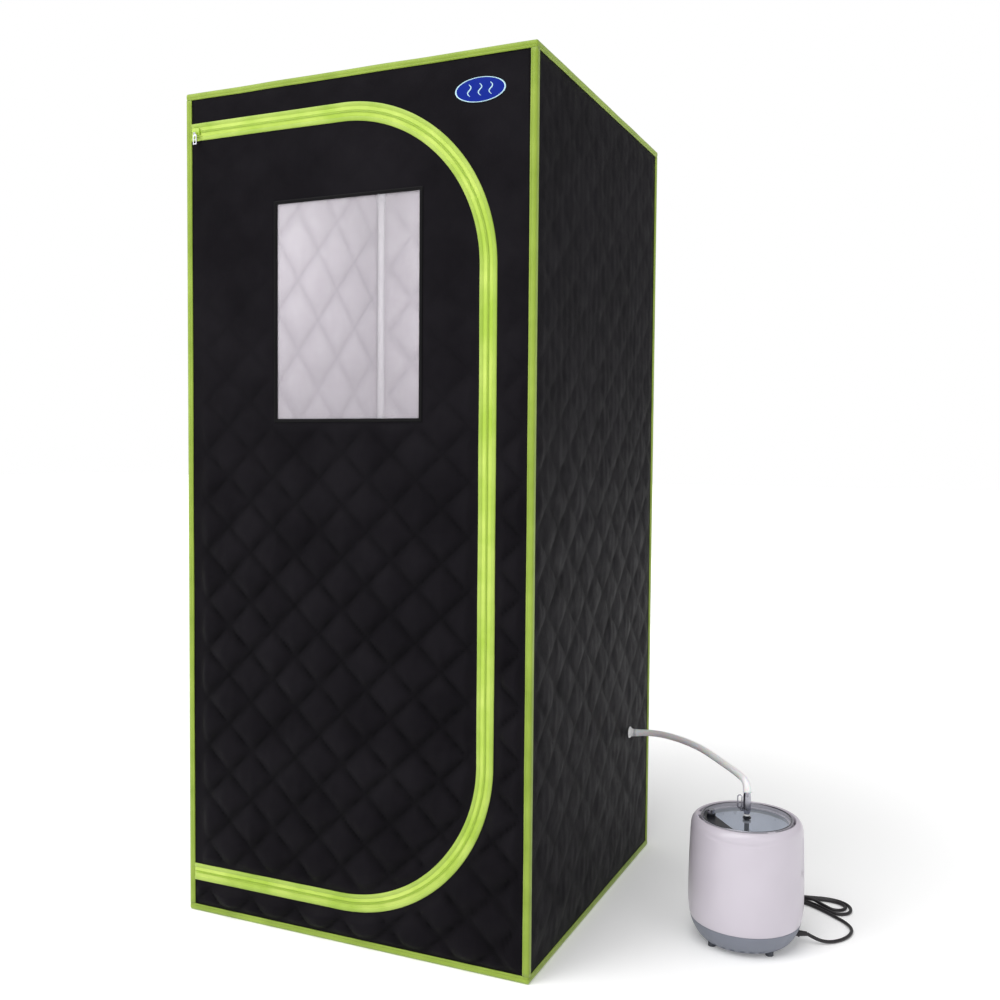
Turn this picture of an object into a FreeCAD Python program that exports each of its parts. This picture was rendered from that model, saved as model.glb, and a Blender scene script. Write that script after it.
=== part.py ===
"""Portable steam sauna: a quilted cabin on a push-fit tube frame, with a zipped door, and its steam pot.

The origin is on the floor at the centre of the cabin, +Z is up, and the door faces -Y. Sizes are in mm.
"""
import FreeCAD
import Part
import math
import os
import re
from FreeCAD import Placement, Rotation, Vector

SIZES = {
    # cabin cover
    "cabin_half": (400, "half the side of the cabin, over the edge binding"),
    "cabin_height": (1750, "height of the cabin, over the edge binding"),
    "proud": (2.5, "how far the edge binding stands out of the panels"),
    "fabric": (4, "thickness of a quilted panel"),
    "binding": (14, "width of the edge binding on each face"),
    "edge_round": (4, "rounding of the cabin's edges"),
    # door and its zip
    "zip_top": (1668, "height of the zip's top run"),
    "zip_low": (86, "height of the zip's bottom run"),
    "zip_side": (305, "x of the zip's upright run"),
    "zip_bend": (320, "radius of the zip's two bends"),
    "tape": (18, "width of one zip tape"),
    "tape_thick": (1.2, "thickness of a zip tape"),
    "tape_gap": (0.2, "gap from the zip's middle line to each tape"),
    "panel_gap": (1, "gap from the zip's middle line to the quilted panels"),
    "chain": (2, "width of one row of zip teeth"),
    "chain_thick": (1.3, "thickness of the rows of teeth"),
    "fold_gap": (3, "gap from the binding to the door flap along its fold"),
    "slider_x": (-371, "x of the zip slider when the door is shut"),
    "slider_long": (16, "length of the zip slider along the zip"),
    "slider_wide": (14, "width of the zip slider across the zip"),
    "slider_thick": (3.6, "thickness of the zip slider"),
    "slider_clear": (0.4, "clearance between the slider and the teeth"),
    "pin_out": (2.6, "distance from the slider's face to the middle of its pin"),
    "pull_length": (23, "length of the zip pull below its pin"),
    "pull_wide": (9, "width of the zip pull"),
    "pull_thick": (1.6, "thickness of the zip pull"),
    "window_left": (-171, "left edge of the window"),
    "window_right": (160, "right edge of the window"),
    "window_low": (1065, "lower edge of the window"),
    "window_top": (1502, "upper edge of the window"),
    "pane": (0.8, "thickness of the clear window sheet"),
    "window_tape": (6, "width of the window's binding"),
    "badge_x": (285, "x of the badge's middle"),
    "badge_z": (1674, "height of the badge's middle"),
    "badge_half_wide": (52, "half the width of the oval badge"),
    "badge_half_high": (23, "half the height of the oval badge"),
    "badge_thick": (1.4, "thickness of the badge"),
    # tube frame
    "frame_inset": (19.5, "distance of the tube axes from the cabin's outer faces"),
    "tube_radius": (9.5, "outer radius of the frame tubes"),
    "tube_bore": (8, "bore radius of the frame tubes"),
    "socket_radius": (12.5, "outer radius of the connector sockets"),
    "socket_bore": (9.6, "bore radius of the connector sockets"),
    "socket_reach": (45, "length of a socket from the corner"),
    "socket_stop": (12, "distance from the corner to the end of a tube"),
    "joint_height": (875, "height of the joints half way up the uprights"),
    "sleeve_half": (40, "half the length of a joint sleeve"),
    "sleeve_web": (1, "half the thickness of the stop inside a joint sleeve"),
    # steam port
    "port_y": (235, "y of the steam port in the right panel"),
    "port_z": (330, "height of the steam port"),
    "port_flare": (13.5, "radius of the port's flange"),
    "port_neck": (8.5, "radius of the port's neck"),
    "port_length": (13, "length of the port outside the panel"),
    "port_nipple": (4.8, "radius of the nipples inside the hose's ends"),
    "nipple_length": (3.5, "length of the nipples inside the hose's ends"),
    "port_bore": (3.8, "bore radius of the port and the hose connector"),
    "port_plate": (2.3, "thickness of the flange and of its backing ring"),
    "hose_radius": (7.5, "outer radius of the steam hose"),
    "hose_bore": (5.5, "bore radius of the steam hose"),
    # steam pot
    "pot_x": (731, "x of the pot's axis"),
    "pot_y": (-29, "y of the pot's axis"),
    "foot_radius": (8, "radius of a rubber foot"),
    "foot_ring": (88, "distance of the feet from the pot's axis"),
    "foot_height": (8, "height of a rubber foot"),
    "foot_angle": (48, "angle of the first foot from the x axis"),
    "base_top": (50, "height of the joint between base and housing"),
    "base_radius": (112, "radius of the pot at that joint"),
    "shell": (3, "wall thickness of the base and housing"),
    "belly_radius": (117, "largest radius of the housing"),
    "shoulder_radius": (113, "radius of the housing under its shoulder"),
    "rim_top": (256, "height of the pot's rim"),
    "mouth_radius": (98.5, "inner radius of the rim round the lid"),
    "rim_low": (236, "height of the joint between housing and rim"),
    "grip_radius": (45, "radius of the hand grips' hollow"),
    "grip_depth": (7, "depth of the hand grips"),
    "grip_low": (150, "height of the hand grips' lower edge"),
    "grip_top": (232, "height of the hand grips' upper edge"),
    "tank_radius": (90, "outer radius of the water tank"),
    "tank_wall": (1.2, "wall thickness of the water tank"),
    "tank_low": (74, "height of the tank's underside"),
    "plate_radius": (70, "radius of the heating plate"),
    "plate_thick": (12, "thickness of the heating plate"),
    "lid_radius": (88, "radius of the clear lid"),
    "lid_low": (248.2, "height of the lid's underside"),
    "lid_thick": (4, "thickness of the lid"),
    "ring_radius": (93, "outer radius of the lock ring"),
    "ring_low": (245, "height of the lock ring's underside"),
    "ring_gap": (0.1, "running clearance between the lid and the lock ring"),
    "lug_radius": (94.9, "radius over the lock ring's lugs"),
    "lug_angle": (7, "angle that a lug spans"),
    "catch_radius": (93.8, "radius inside the rim's catches, which the lugs turn under"),
    "catch_angle": (10, "angle that a catch spans"),
    "lock_turn": (25, "angle that the ring turns to lock"),
    "chord": (57, "distance of the black segment's edge from the lid's middle"),
    "chord_angle": (218, "direction of the black segment from the lid's middle"),
    "valve_x": (-70, "x of the safety valve from the pot's axis"),
    "valve_y": (-18, "y of the safety valve from the pot's axis"),
    "valve_radius": (9, "radius of the safety valve's seat"),
    "nozzle_radius": (5, "radius of the steam outlet's stem"),
    "nozzle_low": (222, "height of the stem's lower end"),
    "nozzle_top": (274, "height of the stem's upper end"),
    "connector_low": (262, "height of the hose connector's lower end"),
    "connector_top": (306, "height of the hose connector's upper end"),
    "connector_radius": (8, "radius of the hose connector"),
    "release_angle": (204, "direction of the release loop from the pot's axis"),
    "release_out": (11.8, "distance of the release loop's pin from the pot's axis"),
    "release_z": (271, "height of the release loop's pin"),
    # power cord
    "cord_radius": (3.5, "radius of the power cord"),
    "gland_angle": (14, "direction in which the cord leaves the pot"),
    "gland_z": (20, "height at which the cord leaves the pot"),
    "hank_high": (15, "height of the folded cord"),
    "tie_width": (12, "width of the tie round the folded cord"),
    "tie_wall": (1.5, "thickness of the tie"),
}

doc = FreeCAD.newDocument("steam_sauna")
sheet = doc.addObject("Spreadsheet::Sheet", "sizes")
parts = []


def fill_sheet():
    for row, (alias, (value, meaning)) in enumerate(SIZES.items(), start=1):
        sheet.set(f"A{row}", alias)
        sheet.set(f"B{row}", str(value))
        sheet.set(f"C{row}", meaning)
        sheet.setAlias(f"B{row}", alias)
    doc.recompute()


def size(alias):
    return float(sheet.get(alias))


def expression(words):
    """Words of the sheet, such as "proud + fabric", as an expression of the document."""
    def named(found):
        return f"sizes.{found[0]}" if found[0] in SIZES else found[0]
    return re.sub(r"[a-z]+(?:_[a-z]+)*", named, str(words))


def value(words):
    return float(sheet.evalExpression(expression(words)))


def bind(item, target, words):
    item.setExpression(target, expression(words))


def move(item, place):
    for axis, words in zip("xyz", place):
        bind(item, f"Placement.Base.{axis}", words)
    return item


def part(item, label):
    item.Label = label
    parts.append(item)
    return item


# ---- building blocks ----------------------------------------------------------------------------------

AXIS_TURN = {"X": Rotation(Vector(0, 1, 0), 90), "Y": Rotation(Vector(1, 0, 0), -90), "Z": Rotation()}


def block(name, low, high):
    """A block between two corners."""
    item = doc.addObject("Part::Box", name)
    for side, start, stop in zip(("Length", "Width", "Height"), low, high):
        bind(item, side, f"({stop}) - ({start})")
    return move(item, low)


def rod(name, radius, length, place, axis="Z"):
    """A cylinder that starts at a place and runs along an axis."""
    item = doc.addObject("Part::Cylinder", name)
    bind(item, "Radius", radius)
    bind(item, "Height", length)
    item.Placement.Rotation = AXIS_TURN[axis]
    return move(item, place)


def sector(name, radius, start, stop, low, high):
    """A slice of a disc about the pot's axis, between two angles and two heights."""
    item = rod(name, radius, f"({high}) - ({low})", ("pot_x", "pot_y", low))
    bind(item, "Angle", f"({stop}) - ({start})")
    bind(item, "Placement.Rotation.Angle", start)
    return item


def cut(name, base, tool):
    item = doc.addObject("Part::Cut", name)
    item.Base, item.Tool = base, tool
    return item


def fuse(name, items):
    item = doc.addObject("Part::MultiFuse", name)
    item.Shapes = items
    item.Refine = True
    return item


def common(name, items):
    item = doc.addObject("Part::MultiCommon", name)
    item.Shapes = items
    return item


def group(name, items):
    item = doc.addObject("Part::Compound", name)
    item.Links = items
    return item


def mirror(name, item, normal):
    copy = doc.addObject("Part::Mirroring", name)
    copy.Source, copy.Base, copy.Normal = item, Vector(), Vector(*normal)
    return copy


def tube(name, radius, bore, length, place, axis="Z"):
    outer = rod(name + "_outer", radius, length, place, axis)
    return cut(name, outer, rod(name + "_bore", bore, length, place, axis))


def turned(name, outline, place=("pot_x", "pot_y", 0)):
    """A body turned about a vertical axis from an outline of (radius, height) pairs."""
    body = doc.addObject("PartDesign::Body", name)
    sketch = body.newObject("Sketcher::SketchObject", name + "_outline")
    plane = next(item for item in body.Origin.OriginFeatures if item.Role == "XZ_Plane")
    sketch.AttachmentSupport, sketch.MapMode = [(plane, "")], "FlatFace"
    doc.recompute()
    points = [Vector(*(value(words) for words in pair), 0) for pair in outline]
    for first, second in zip(points, points[1:] + points[:1]):
        sketch.addGeometry(Part.LineSegment(first, second))
    for line, pair in enumerate(outline):
        sketch.addConstraint(Sketcher.Constraint("Coincident", line, 2, (line + 1) % len(outline), 1))
        for kind, words, axis_line in zip(("DistanceX", "DistanceY"), pair, (-2, -1)):
            if value(words) == 0:
                sketch.addConstraint(Sketcher.Constraint("PointOnObject", line, 1, axis_line))
            else:
                number = sketch.addConstraint(Sketcher.Constraint(kind, -1, 1, line, 1, value(words)))
                bind(sketch, f"Constraints[{number}]", words)
    turn = body.newObject("PartDesign::Revolution", name + "_turn")
    turn.Profile, turn.ReferenceAxis, turn.Angle = sketch, (sketch, ["V_Axis"]), 360
    body.Tip = turn
    return move(body, place)


# ---- cabin cover --------------------------------------------------------------------------------------

OUTER = "(cabin_half - proud)"
INNER = "(cabin_half - proud - fabric)"
EDGE = "(cabin_half - binding)"
EDGE_TOP = "(cabin_height - binding)"
MIRROR_X, MIRROR_Y = (1, 0, 0), (0, 1, 0)


def door_shape(name, reach, left, front, back):
    """The door's outline, moved out from the zip's middle line by a reach, between two y planes."""
    high, low = "(zip_top - zip_bend)", "(zip_low + zip_bend)"
    bend_x = "(zip_side - zip_bend)"
    long_part = block(name + "_long", (left, front, f"zip_low - ({reach})"),
                      (bend_x, back, f"zip_top + ({reach})"))
    side_part = block(name + "_side", (f"{bend_x} - 1", front, low), (f"zip_side + ({reach})", back, high))
    bends = [rod(f"{name}_{end}_bend", f"zip_bend + ({reach})", f"({back}) - ({front})",
                 (bend_x, front, level), "Y")
             for end, level in (("upper", high), ("lower", low))]
    return fuse(name, [long_part, side_part] + bends)


def front_panel():
    panel = block("front_blank", (f"-{EDGE}", f"-{OUTER}", "binding"), (EDGE, f"-{INNER}", EDGE_TOP))
    doorway = door_shape("doorway", "panel_gap", f"-{EDGE} - 1", f"-{OUTER} - 1", f"-{INNER} + 1")
    part(cut("front", panel, doorway), "front_panel")


def window_block(name, margin, front, back):
    return block(name, (f"window_left - ({margin})", front, f"window_low - ({margin})"),
                 (f"window_right + ({margin})", back, f"window_top + ({margin})"))


def door():
    left = f"-{EDGE} + fold_gap"
    flap = door_shape("flap_blank", "-panel_gap", left, f"-{OUTER}", f"-{INNER}")
    part(cut("flap", flap, window_block("window_hole", 0, f"-{OUTER} - 1", f"-{INNER} + 1")), "door_flap")
    pane_front = f"(-{OUTER} + fabric / 2)"
    part(window_block("pane_sheet", 0, pane_front, f"{pane_front} + pane"), "door_window")
    tape_front = f"-{OUTER} - tape_thick"
    rim = window_block("window_rim", "window_tape", tape_front, f"-{OUTER}")
    part(cut("window_edge", rim, window_block("window_rim_hole", 0, f"{tape_front} - 1", f"-{OUTER} + 1")),
         "window_binding")


def zip_strip(name, far, near, left, front, back):
    """A strip along the door's outline, between two distances from the zip's middle line."""
    hole = door_shape(name + "_hole", near, f"{left} - 1", f"{front} - 1", f"{back} + 1")
    return cut(name, door_shape(name + "_blank", far, left, front, back), hole)


def zip_tapes():
    tape_front = f"(-{OUTER} - tape_thick)"
    chain_front = f"({tape_front} - chain_thick)"
    left, fold = f"-{EDGE}", f"(-{EDGE} + fold_gap)"
    part(zip_strip("outer_tape", "tape", "tape_gap", left, tape_front, f"-{OUTER}"), "zip_tape_frame")
    part(zip_strip("inner_tape", "-tape_gap", "-tape", fold, tape_front, f"-{OUTER}"), "zip_tape_door")
    part(zip_strip("outer_chain", "tape_gap + chain", "tape_gap", left, chain_front, tape_front),
         "zip_teeth_frame")
    part(zip_strip("inner_chain", "-tape_gap", "-tape_gap - chain", fold, chain_front, tape_front),
         "zip_teeth_door")


def zip_slider():
    back = f"(-{OUTER} - tape_thick - chain_thick - slider_clear)"
    face = f"({back} - slider_thick)"
    pin_y = f"({face} - pin_out)"
    pin_z = "(zip_top - 4)"
    body = block("slider_body", ("slider_x - slider_long / 2", face, "zip_top - slider_wide / 2"),
                 ("slider_x + slider_long / 2", back, "zip_top + slider_wide / 2"))
    ears = [block(f"slider_ear_{side}", (f"slider_x + {near}", f"{pin_y} - 1.8", f"{pin_z} - 2"),
                  (f"slider_x + {near} + 1.5", f"{face} + 1", f"{pin_z} + 2"))
            for side, near in (("left", -4.7), ("right", 3.2))]
    pin = rod("slider_pin", 1, 8, ("slider_x - 4", pin_y, pin_z), "X")
    part(fuse("slider", [body, pin] + ears), "zip_slider")

    plate_front = f"({pin_y} - pull_thick / 2)"
    plate = block("pull_plate", ("slider_x - pull_wide / 2", plate_front, f"{pin_z} - pull_length"),
                  ("slider_x + pull_wide / 2", f"{plate_front} + pull_thick", f"{pin_z} - 3"))
    neck = block("pull_neck", ("slider_x - 2.4", plate_front, f"{pin_z} - 3.5"),
                 ("slider_x + 2.4", f"{plate_front} + pull_thick", f"{pin_z} - 1.5"))
    knuckle = rod("pull_knuckle", 2.2, 5.6, ("slider_x - 2.8", pin_y, pin_z), "X")
    holes = [block(f"pull_window_{number}", ("slider_x - 2.6", f"{plate_front} - 1", f"{pin_z} - {low}"),
                   ("slider_x + 2.6", f"{plate_front} + pull_thick + 1", f"{pin_z} - {low} + 7"))
             for number, low in enumerate((13, 21), start=1)]
    bore = rod("pull_bore", 1.08, 8, ("slider_x - 4", pin_y, pin_z), "X")
    blank = fuse("pull_blank", [plate, neck, knuckle])
    part(cut("pull", blank, fuse("pull_holes", holes + [bore])), "zip_pull")


def badge():
    oval = doc.addObject("Part::Ellipse", "badge_oval")
    bind(oval, "MajorRadius", "badge_half_wide")
    bind(oval, "MinorRadius", "badge_half_high")
    oval.Placement.Rotation = Rotation(Vector(1, 0, 0), 90)
    move(oval, ("badge_x", f"-{OUTER}", "badge_z"))
    patch = doc.addObject("Part::Extrusion", "badge_patch")
    patch.Base, patch.DirMode, patch.Dir, patch.Solid = oval, "Custom", Vector(0, -1, 0), True
    bind(patch, "LengthFwd", "badge_thick")
    part(patch, "badge")


def plain_panels():
    side = block("right_blank", (INNER, f"-{EDGE}", "binding"), (OUTER, EDGE, EDGE_TOP))
    hole = rod("port_hole", "port_neck", "fabric + 2", (f"{INNER} - 1", "port_y", "port_z"), "X")
    part(cut("right", side, hole), "right_panel")
    part(block("left", (f"-{OUTER}", f"-{EDGE}", "binding"), (f"-{INNER}", EDGE, EDGE_TOP)), "left_panel")
    part(block("rear", (f"-{EDGE}", INNER, "binding"), (EDGE, OUTER, EDGE_TOP)), "rear_panel")
    part(block("roof", (f"-{EDGE}", f"-{EDGE}", "cabin_height - proud - fabric"),
               (EDGE, EDGE, "cabin_height - proud")), "roof_panel")
    part(block("floor", (f"-{EDGE}", f"-{EDGE}", 0), (EDGE, EDGE, "fabric")), "floor_panel")


def rounded(name, item, vertical, levels):
    """Rounds the outer edges: those along the given vertical lines or at the given heights."""
    doc.recompute()
    half = size("cabin_half")
    chosen = []
    for number, edge in enumerate(item.Shape.Edges, start=1):
        low, high = (vertex.Point for vertex in edge.Vertexes)
        along = [abs(abs(spot) - half) < 0.01 for spot in (low.x, high.x, low.y, high.y)]
        upright = vertical and all(along)
        level = low.z in levels and high.z == low.z and (all(along[:2]) or all(along[2:]))
        if upright or level:
            chosen.append((number, size("edge_round"), size("edge_round")))
    item_round = doc.addObject("Part::Fillet", name)
    item_round.Base, item_round.Edges = item, chosen
    return item_round


def bindings():
    """The folded tape over the cabin's edges: a ring at the top, one at the bottom, and four uprights."""
    half, fold = "cabin_half", "(proud + fabric)"
    for name, low, high, shelf_low, shelf_high in (
            ("top", EDGE_TOP, "cabin_height", f"{EDGE_TOP} - 1", f"cabin_height - {fold}"),
            ("bottom", "0", "binding", fold, "binding + 1")):
        ring = block(name + "_ring", (f"-{half}", f"-{half}", low), (half, half, high))
        hole = block(name + "_hole", (f"-{EDGE}", f"-{EDGE}", f"{low} - 1"), (EDGE, EDGE, f"{high} + 1"))
        shelf = block(name + "_shelf", (f"-{INNER}", f"-{INNER}", shelf_low), (INNER, INNER, shelf_high))
        folded = cut(name + "_folded", ring, fuse(name + "_inside", [hole, shelf]))
        if name == "top":
            folded = rounded("top_edge", folded, False, [value("cabin_height")])
        part(folded, f"{name}_binding")
    outside = block("corner_outside", (EDGE, EDGE, "binding"), (half, half, EDGE_TOP))
    inside = block("corner_inside", (f"{EDGE} - 1", f"{EDGE} - 1", "0"), (INNER, INNER, "cabin_height"))
    rear_right = rounded("corner_edge", cut("corner_folded", outside, inside), True, [])
    part(four_corners("corner", rear_right), "corner_bindings")


def four_corners(name, item):
    pair = group(name + "_pair", [item, mirror(name + "_across", item, MIRROR_X)])
    return group(name + "_all", [pair, mirror(name + "_along", pair, MIRROR_Y)])


# ---- tube frame ---------------------------------------------------------------------------------------

AXIS = "(cabin_half - frame_inset)"
AXIS_TOP = "(cabin_height - frame_inset)"


def uprights():
    sections = (("lower", "frame_inset + socket_stop", "joint_height - sleeve_web"),
                ("upper", "joint_height + sleeve_web", f"{AXIS_TOP} - socket_stop"))
    for level, low, high in sections:
        for side, across in (("left", f"-{AXIS}"), ("right", AXIS)):
            for end, along in (("front", f"-{AXIS}"), ("rear", AXIS)):
                label = f"{level}_upright_{end}_{side}"
                upright = tube(f"tube_{label}", "tube_radius", "tube_bore", f"({high}) - ({low})",
                               (across, along, low))
                part(upright, label)


def rails():
    start = f"-{AXIS} + socket_stop"
    length = f"2 * ({AXIS} - socket_stop)"
    for level, height in (("top", AXIS_TOP), ("bottom", "frame_inset")):
        tubes = [tube(f"{level}_rail_{number}", "tube_radius", "tube_bore", length, place, axis)
                 for number, (place, axis) in enumerate((((start, f"-{AXIS}", height), "X"),
                                                         ((start, AXIS, height), "X"),
                                                         ((f"-{AXIS}", start, height), "Y"),
                                                         ((AXIS, start, height), "Y")), start=1)]
        part(group(f"{level}_tubes", tubes), f"{level}_rails")


def connectors():
    """Three-way corner sockets; the modelled corner is the one at -x and -y."""
    depth = "socket_reach - socket_stop + 1"
    for level, height in (("top", AXIS_TOP), ("bottom", "frame_inset")):
        corner = (f"-{AXIS}", f"-{AXIS}", height)
        down = level == "top"
        drop = "-socket_reach" if down else "0"
        bore_drop = "-socket_reach - 1" if down else "socket_stop"
        ball = doc.addObject("Part::Sphere", level + "_ball")
        bind(ball, "Radius", "socket_radius")
        move(ball, corner)
        arms = [rod(f"{level}_arm_x", "socket_radius", "socket_reach", corner, "X"),
                rod(f"{level}_arm_y", "socket_radius", "socket_reach", corner, "Y"),
                rod(f"{level}_arm_z", "socket_radius", "socket_reach", (*corner[:2], f"{height} + {drop}"))]
        stop = f"-{AXIS} + socket_stop"
        bores = [rod(f"{level}_bore_x", "socket_bore", depth, (stop, *corner[1:]), "X"),
                 rod(f"{level}_bore_y", "socket_bore", depth, (corner[0], stop, height), "Y"),
                 rod(f"{level}_bore_z", "socket_bore", depth, (*corner[:2], f"{height} + {bore_drop}"))]
        socket = cut(level + "_socket", fuse(level + "_arms", [ball] + arms), fuse(level + "_bores", bores))
        part(four_corners(level + "_corner", socket), f"{level}_corner_connectors")


def joint_sleeves():
    place = (f"-{AXIS}", f"-{AXIS}", "joint_height - sleeve_half")
    sleeve = rod("sleeve_outer", "socket_radius", "2 * sleeve_half", place)
    lower = rod("sleeve_lower_bore", "socket_bore", "sleeve_half - sleeve_web + 1",
                (*place[:2], f"{place[2]} - 1"))
    upper = rod("sleeve_upper_bore", "socket_bore", "sleeve_half + 1",
                (*place[:2], "joint_height + sleeve_web"))
    drilled = cut("sleeve_drilled", sleeve, fuse("sleeve_bores", [lower, upper]))
    part(four_corners("sleeve", drilled), "upright_sleeves")


# ---- cords and the hose -------------------------------------------------------------------------------

# From the port in the right panel to the top of the hose connector.
HOSE_ROUTE = [(410.5, 235, 330), (454, 231, 338), (520, 196, 351), (594, 134, 357), (655, 68, 352),
              (701, 12, 345), (731, -29, 336), (731, -29, 306.3)]
# From the pot's gland, down to the floor and round to the folded length behind the pot.
CORD_ROUTE = [(852.4, 1.3, 20), (872, 5, 9.5), (895, 17, 3.6), (917, 39, 3.6), (930, 68, 3.6), (932, 99, 3.6),
              (917, 126, 3.6), (892, 147, 3.6), (868, 166, 3.6)]
# The folded cord seen from above: a wide lobe to the right of its tie and a narrower one to the left.
HANK_OUTLINE = [(921, 168), (923, 205), (904, 236), (866, 242), (797, 230.5), (783, 230.5), (712, 244),
                (680, 236), (662, 216), (662, 206), (680, 184), (712, 177), (783, 194), (797, 194),
                (852, 158), (898, 148)]
TIE_X = 790


def smooth_path(route):
    """Straight runs joined by tangent arcs, as large as the runs allow; gives the wire and the radii."""
    points = [Vector(*spot) for spot in route]
    edges, radii, start = [], [], points[0]
    for before, corner, after in zip(points, points[1:], points[2:]):
        arriving, leaving = (corner - before), (after - corner)
        reach = 0.45 * min(arriving.Length, leaving.Length)
        half_turn = arriving.getAngle(leaving) / 2
        arriving.normalize()
        leaving.normalize()
        first, last = corner - arriving * reach, corner + leaving * reach
        inward = (leaving - arriving).normalize()
        radius = reach / math.tan(half_turn)
        middle = corner + inward * (radius / math.cos(half_turn) - radius)
        edges += [Part.LineSegment(start, first).toShape(), Part.Arc(first, middle, last).toShape()]
        radii.append(round(radius))
        start = last
    edges.append(Part.LineSegment(start, points[-1]).toShape())
    return Part.Wire(edges), radii


def swept(wire, radius):
    start = wire.Edges[0]
    ring = Part.Wire(Part.makeCircle(radius, start.Vertexes[0].Point, start.tangentAt(start.FirstParameter)))
    solid = wire.makePipeShell([ring], True, True)
    expected = math.pi * radius ** 2 * wire.Length
    print(f"  swept length {wire.Length:.1f} mm, volume {solid.Volume / expected:.4f} of section x length")
    return solid


def shaped(name, shape):
    item = doc.addObject("Part::Feature", name)
    item.Shape = shape
    return item


def steam_hose():
    wire, radii = smooth_path(HOSE_ROUTE)
    print("steam hose radii", radii)
    hose = swept(wire, size("hose_radius")).cut(swept(wire, size("hose_bore")))
    part(shaped("hose", hose), "steam_hose")


def power_cord():
    wire, radii = smooth_path(CORD_ROUTE)
    print("power cord radii", radii)
    part(shaped("cord", swept(wire, size("cord_radius"))), "power_cord")


def folded_cord():
    outline = Part.makePolygon([Vector(*spot, 0) for spot in HANK_OUTLINE + HANK_OUTLINE[:1]])
    slab = Part.Face(outline).extrude(Vector(0, 0, size("hank_high")))
    part(shaped("hank", slab), "cord_hank")
    low, high = (-size("tie_width") / 2, size("tie_width") / 2)
    band = Part.makeBox(high - low, 40.5, size("hank_high") + size("tie_wall"), Vector(TIE_X + low, 192, 0))
    part(shaped("tie", band.cut(slab)), "cord_tie")


def steam_port():
    flange = rod("port_flange_plate", "port_flare", "port_plate", (OUTER, "port_y", "port_z"), "X")
    neck = rod("port_neck_rod", "port_neck", "port_length + fabric + port_plate - 0.1",
               (f"{INNER} - port_plate + 0.1", "port_y", "port_z"), "X")
    cone = doc.addObject("Part::Cone", "port_cone")
    bind(cone, "Radius1", "port_flare - 1")
    bind(cone, "Radius2", "port_neck")
    bind(cone, "Height", "port_length * 0.6")
    cone.Placement.Rotation = AXIS_TURN["X"]
    move(cone, (f"{OUTER} + port_plate - 0.01", "port_y", "port_z"))
    nipple = rod("port_nipple_rod", "port_nipple", "port_length + nipple_length",
                 (OUTER, "port_y", "port_z"), "X")
    bore = rod("port_bore_rod", "port_bore", "port_length + nipple_length + 20",
               (f"{INNER} - 8", "port_y", "port_z"), "X")
    part(cut("port", fuse("port_blank", [flange, neck, cone, nipple]), bore), "steam_port")
    ring_x = f"{INNER} - port_plate"
    ring = tube("port_ring", "port_flare", "port_neck", "port_plate", (ring_x, "port_y", "port_z"), "X")
    part(ring, "port_backing_ring")


# ---- steam pot ----------------------------------------------------------------------------------------

def at_pot(x, y, z):
    return (f"pot_x + ({x})", f"pot_y + ({y})", z)


def ring_place(number, radius, angle, height):
    """The place of one of four things spread evenly round the pot."""
    turn = f"({angle} + {90 * number})"
    return at_pot(f"({radius}) * cos({turn})", f"({radius}) * sin({turn})", height)


def pot_base():
    shell = turned("base_shell", [("base_radius", "base_top"), ("base_radius - 6", "31"),
                                  ("base_radius - 15", "17"),
                                  ("base_radius - 26", "foot_height"), ("0", "foot_height"),
                                  ("0", "foot_height + shell"), ("base_radius - 27", "foot_height + shell"),
                                  ("base_radius - 17.5", "18.5"), ("base_radius - 8.8", "31.8"),
                                  ("base_radius - shell", "base_top")])
    holes = [rod(f"base_screw_hole_{number}", 2, 20, ring_place(number, "foot_ring - 7", "foot_angle", 0))
             for number in range(4)]
    gland_hole = radial_rod("base_gland_hole", 6, 40, 85)
    part(cut("base", shell, fuse("base_holes", holes + [gland_hole])), "pot_base")


def radial_rod(name, radius, length, start):
    """A cylinder along the direction in which the power cord leaves the pot."""
    start_place = at_pot(f"({start}) * cos(gland_angle)", f"({start}) * sin(gland_angle)", "gland_z")
    item = rod(name, radius, length, start_place)
    item.Placement.Rotation = Rotation(Vector(0, 0, 1), size("gland_angle")) * AXIS_TURN["X"]
    return item


def feet():
    feet_solids, screws = [], []
    for number in range(4):
        place = ring_place(number, "foot_ring - 7", "foot_angle", 0)
        recess = rod(f"foot_recess_{number}", 4.3, 3.8, place)
        hole = rod(f"foot_hole_{number}", 2, "foot_height", place)
        foot = rod(f"foot_{number}", "foot_radius", "foot_height", place)
        feet_solids.append(cut(f"foot_drilled_{number}", foot, fuse(f"foot_holes_{number}", [recess, hole])))
        head = rod(f"screw_head_{number}", 4, 2.2, (*place[:2], "1.6"))
        shank = rod(f"screw_shank_{number}", 1.9, 12, (*place[:2], "3"))
        screws.append(fuse(f"screw_{number}", [head, shank]))
    part(group("feet", feet_solids), "pot_feet")
    part(group("screws", screws), "foot_screws")


HOUSING_WALL = [("base_radius", "base_top"), ("belly_radius - 1.5", "68"), ("belly_radius", "95"),
                ("belly_radius - 0.4", "140"), ("shoulder_radius + 2.3", "190"),
                ("shoulder_radius + 0.6", "rim_low")]
LUG_ANGLES = (96, 216, 336)


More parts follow.
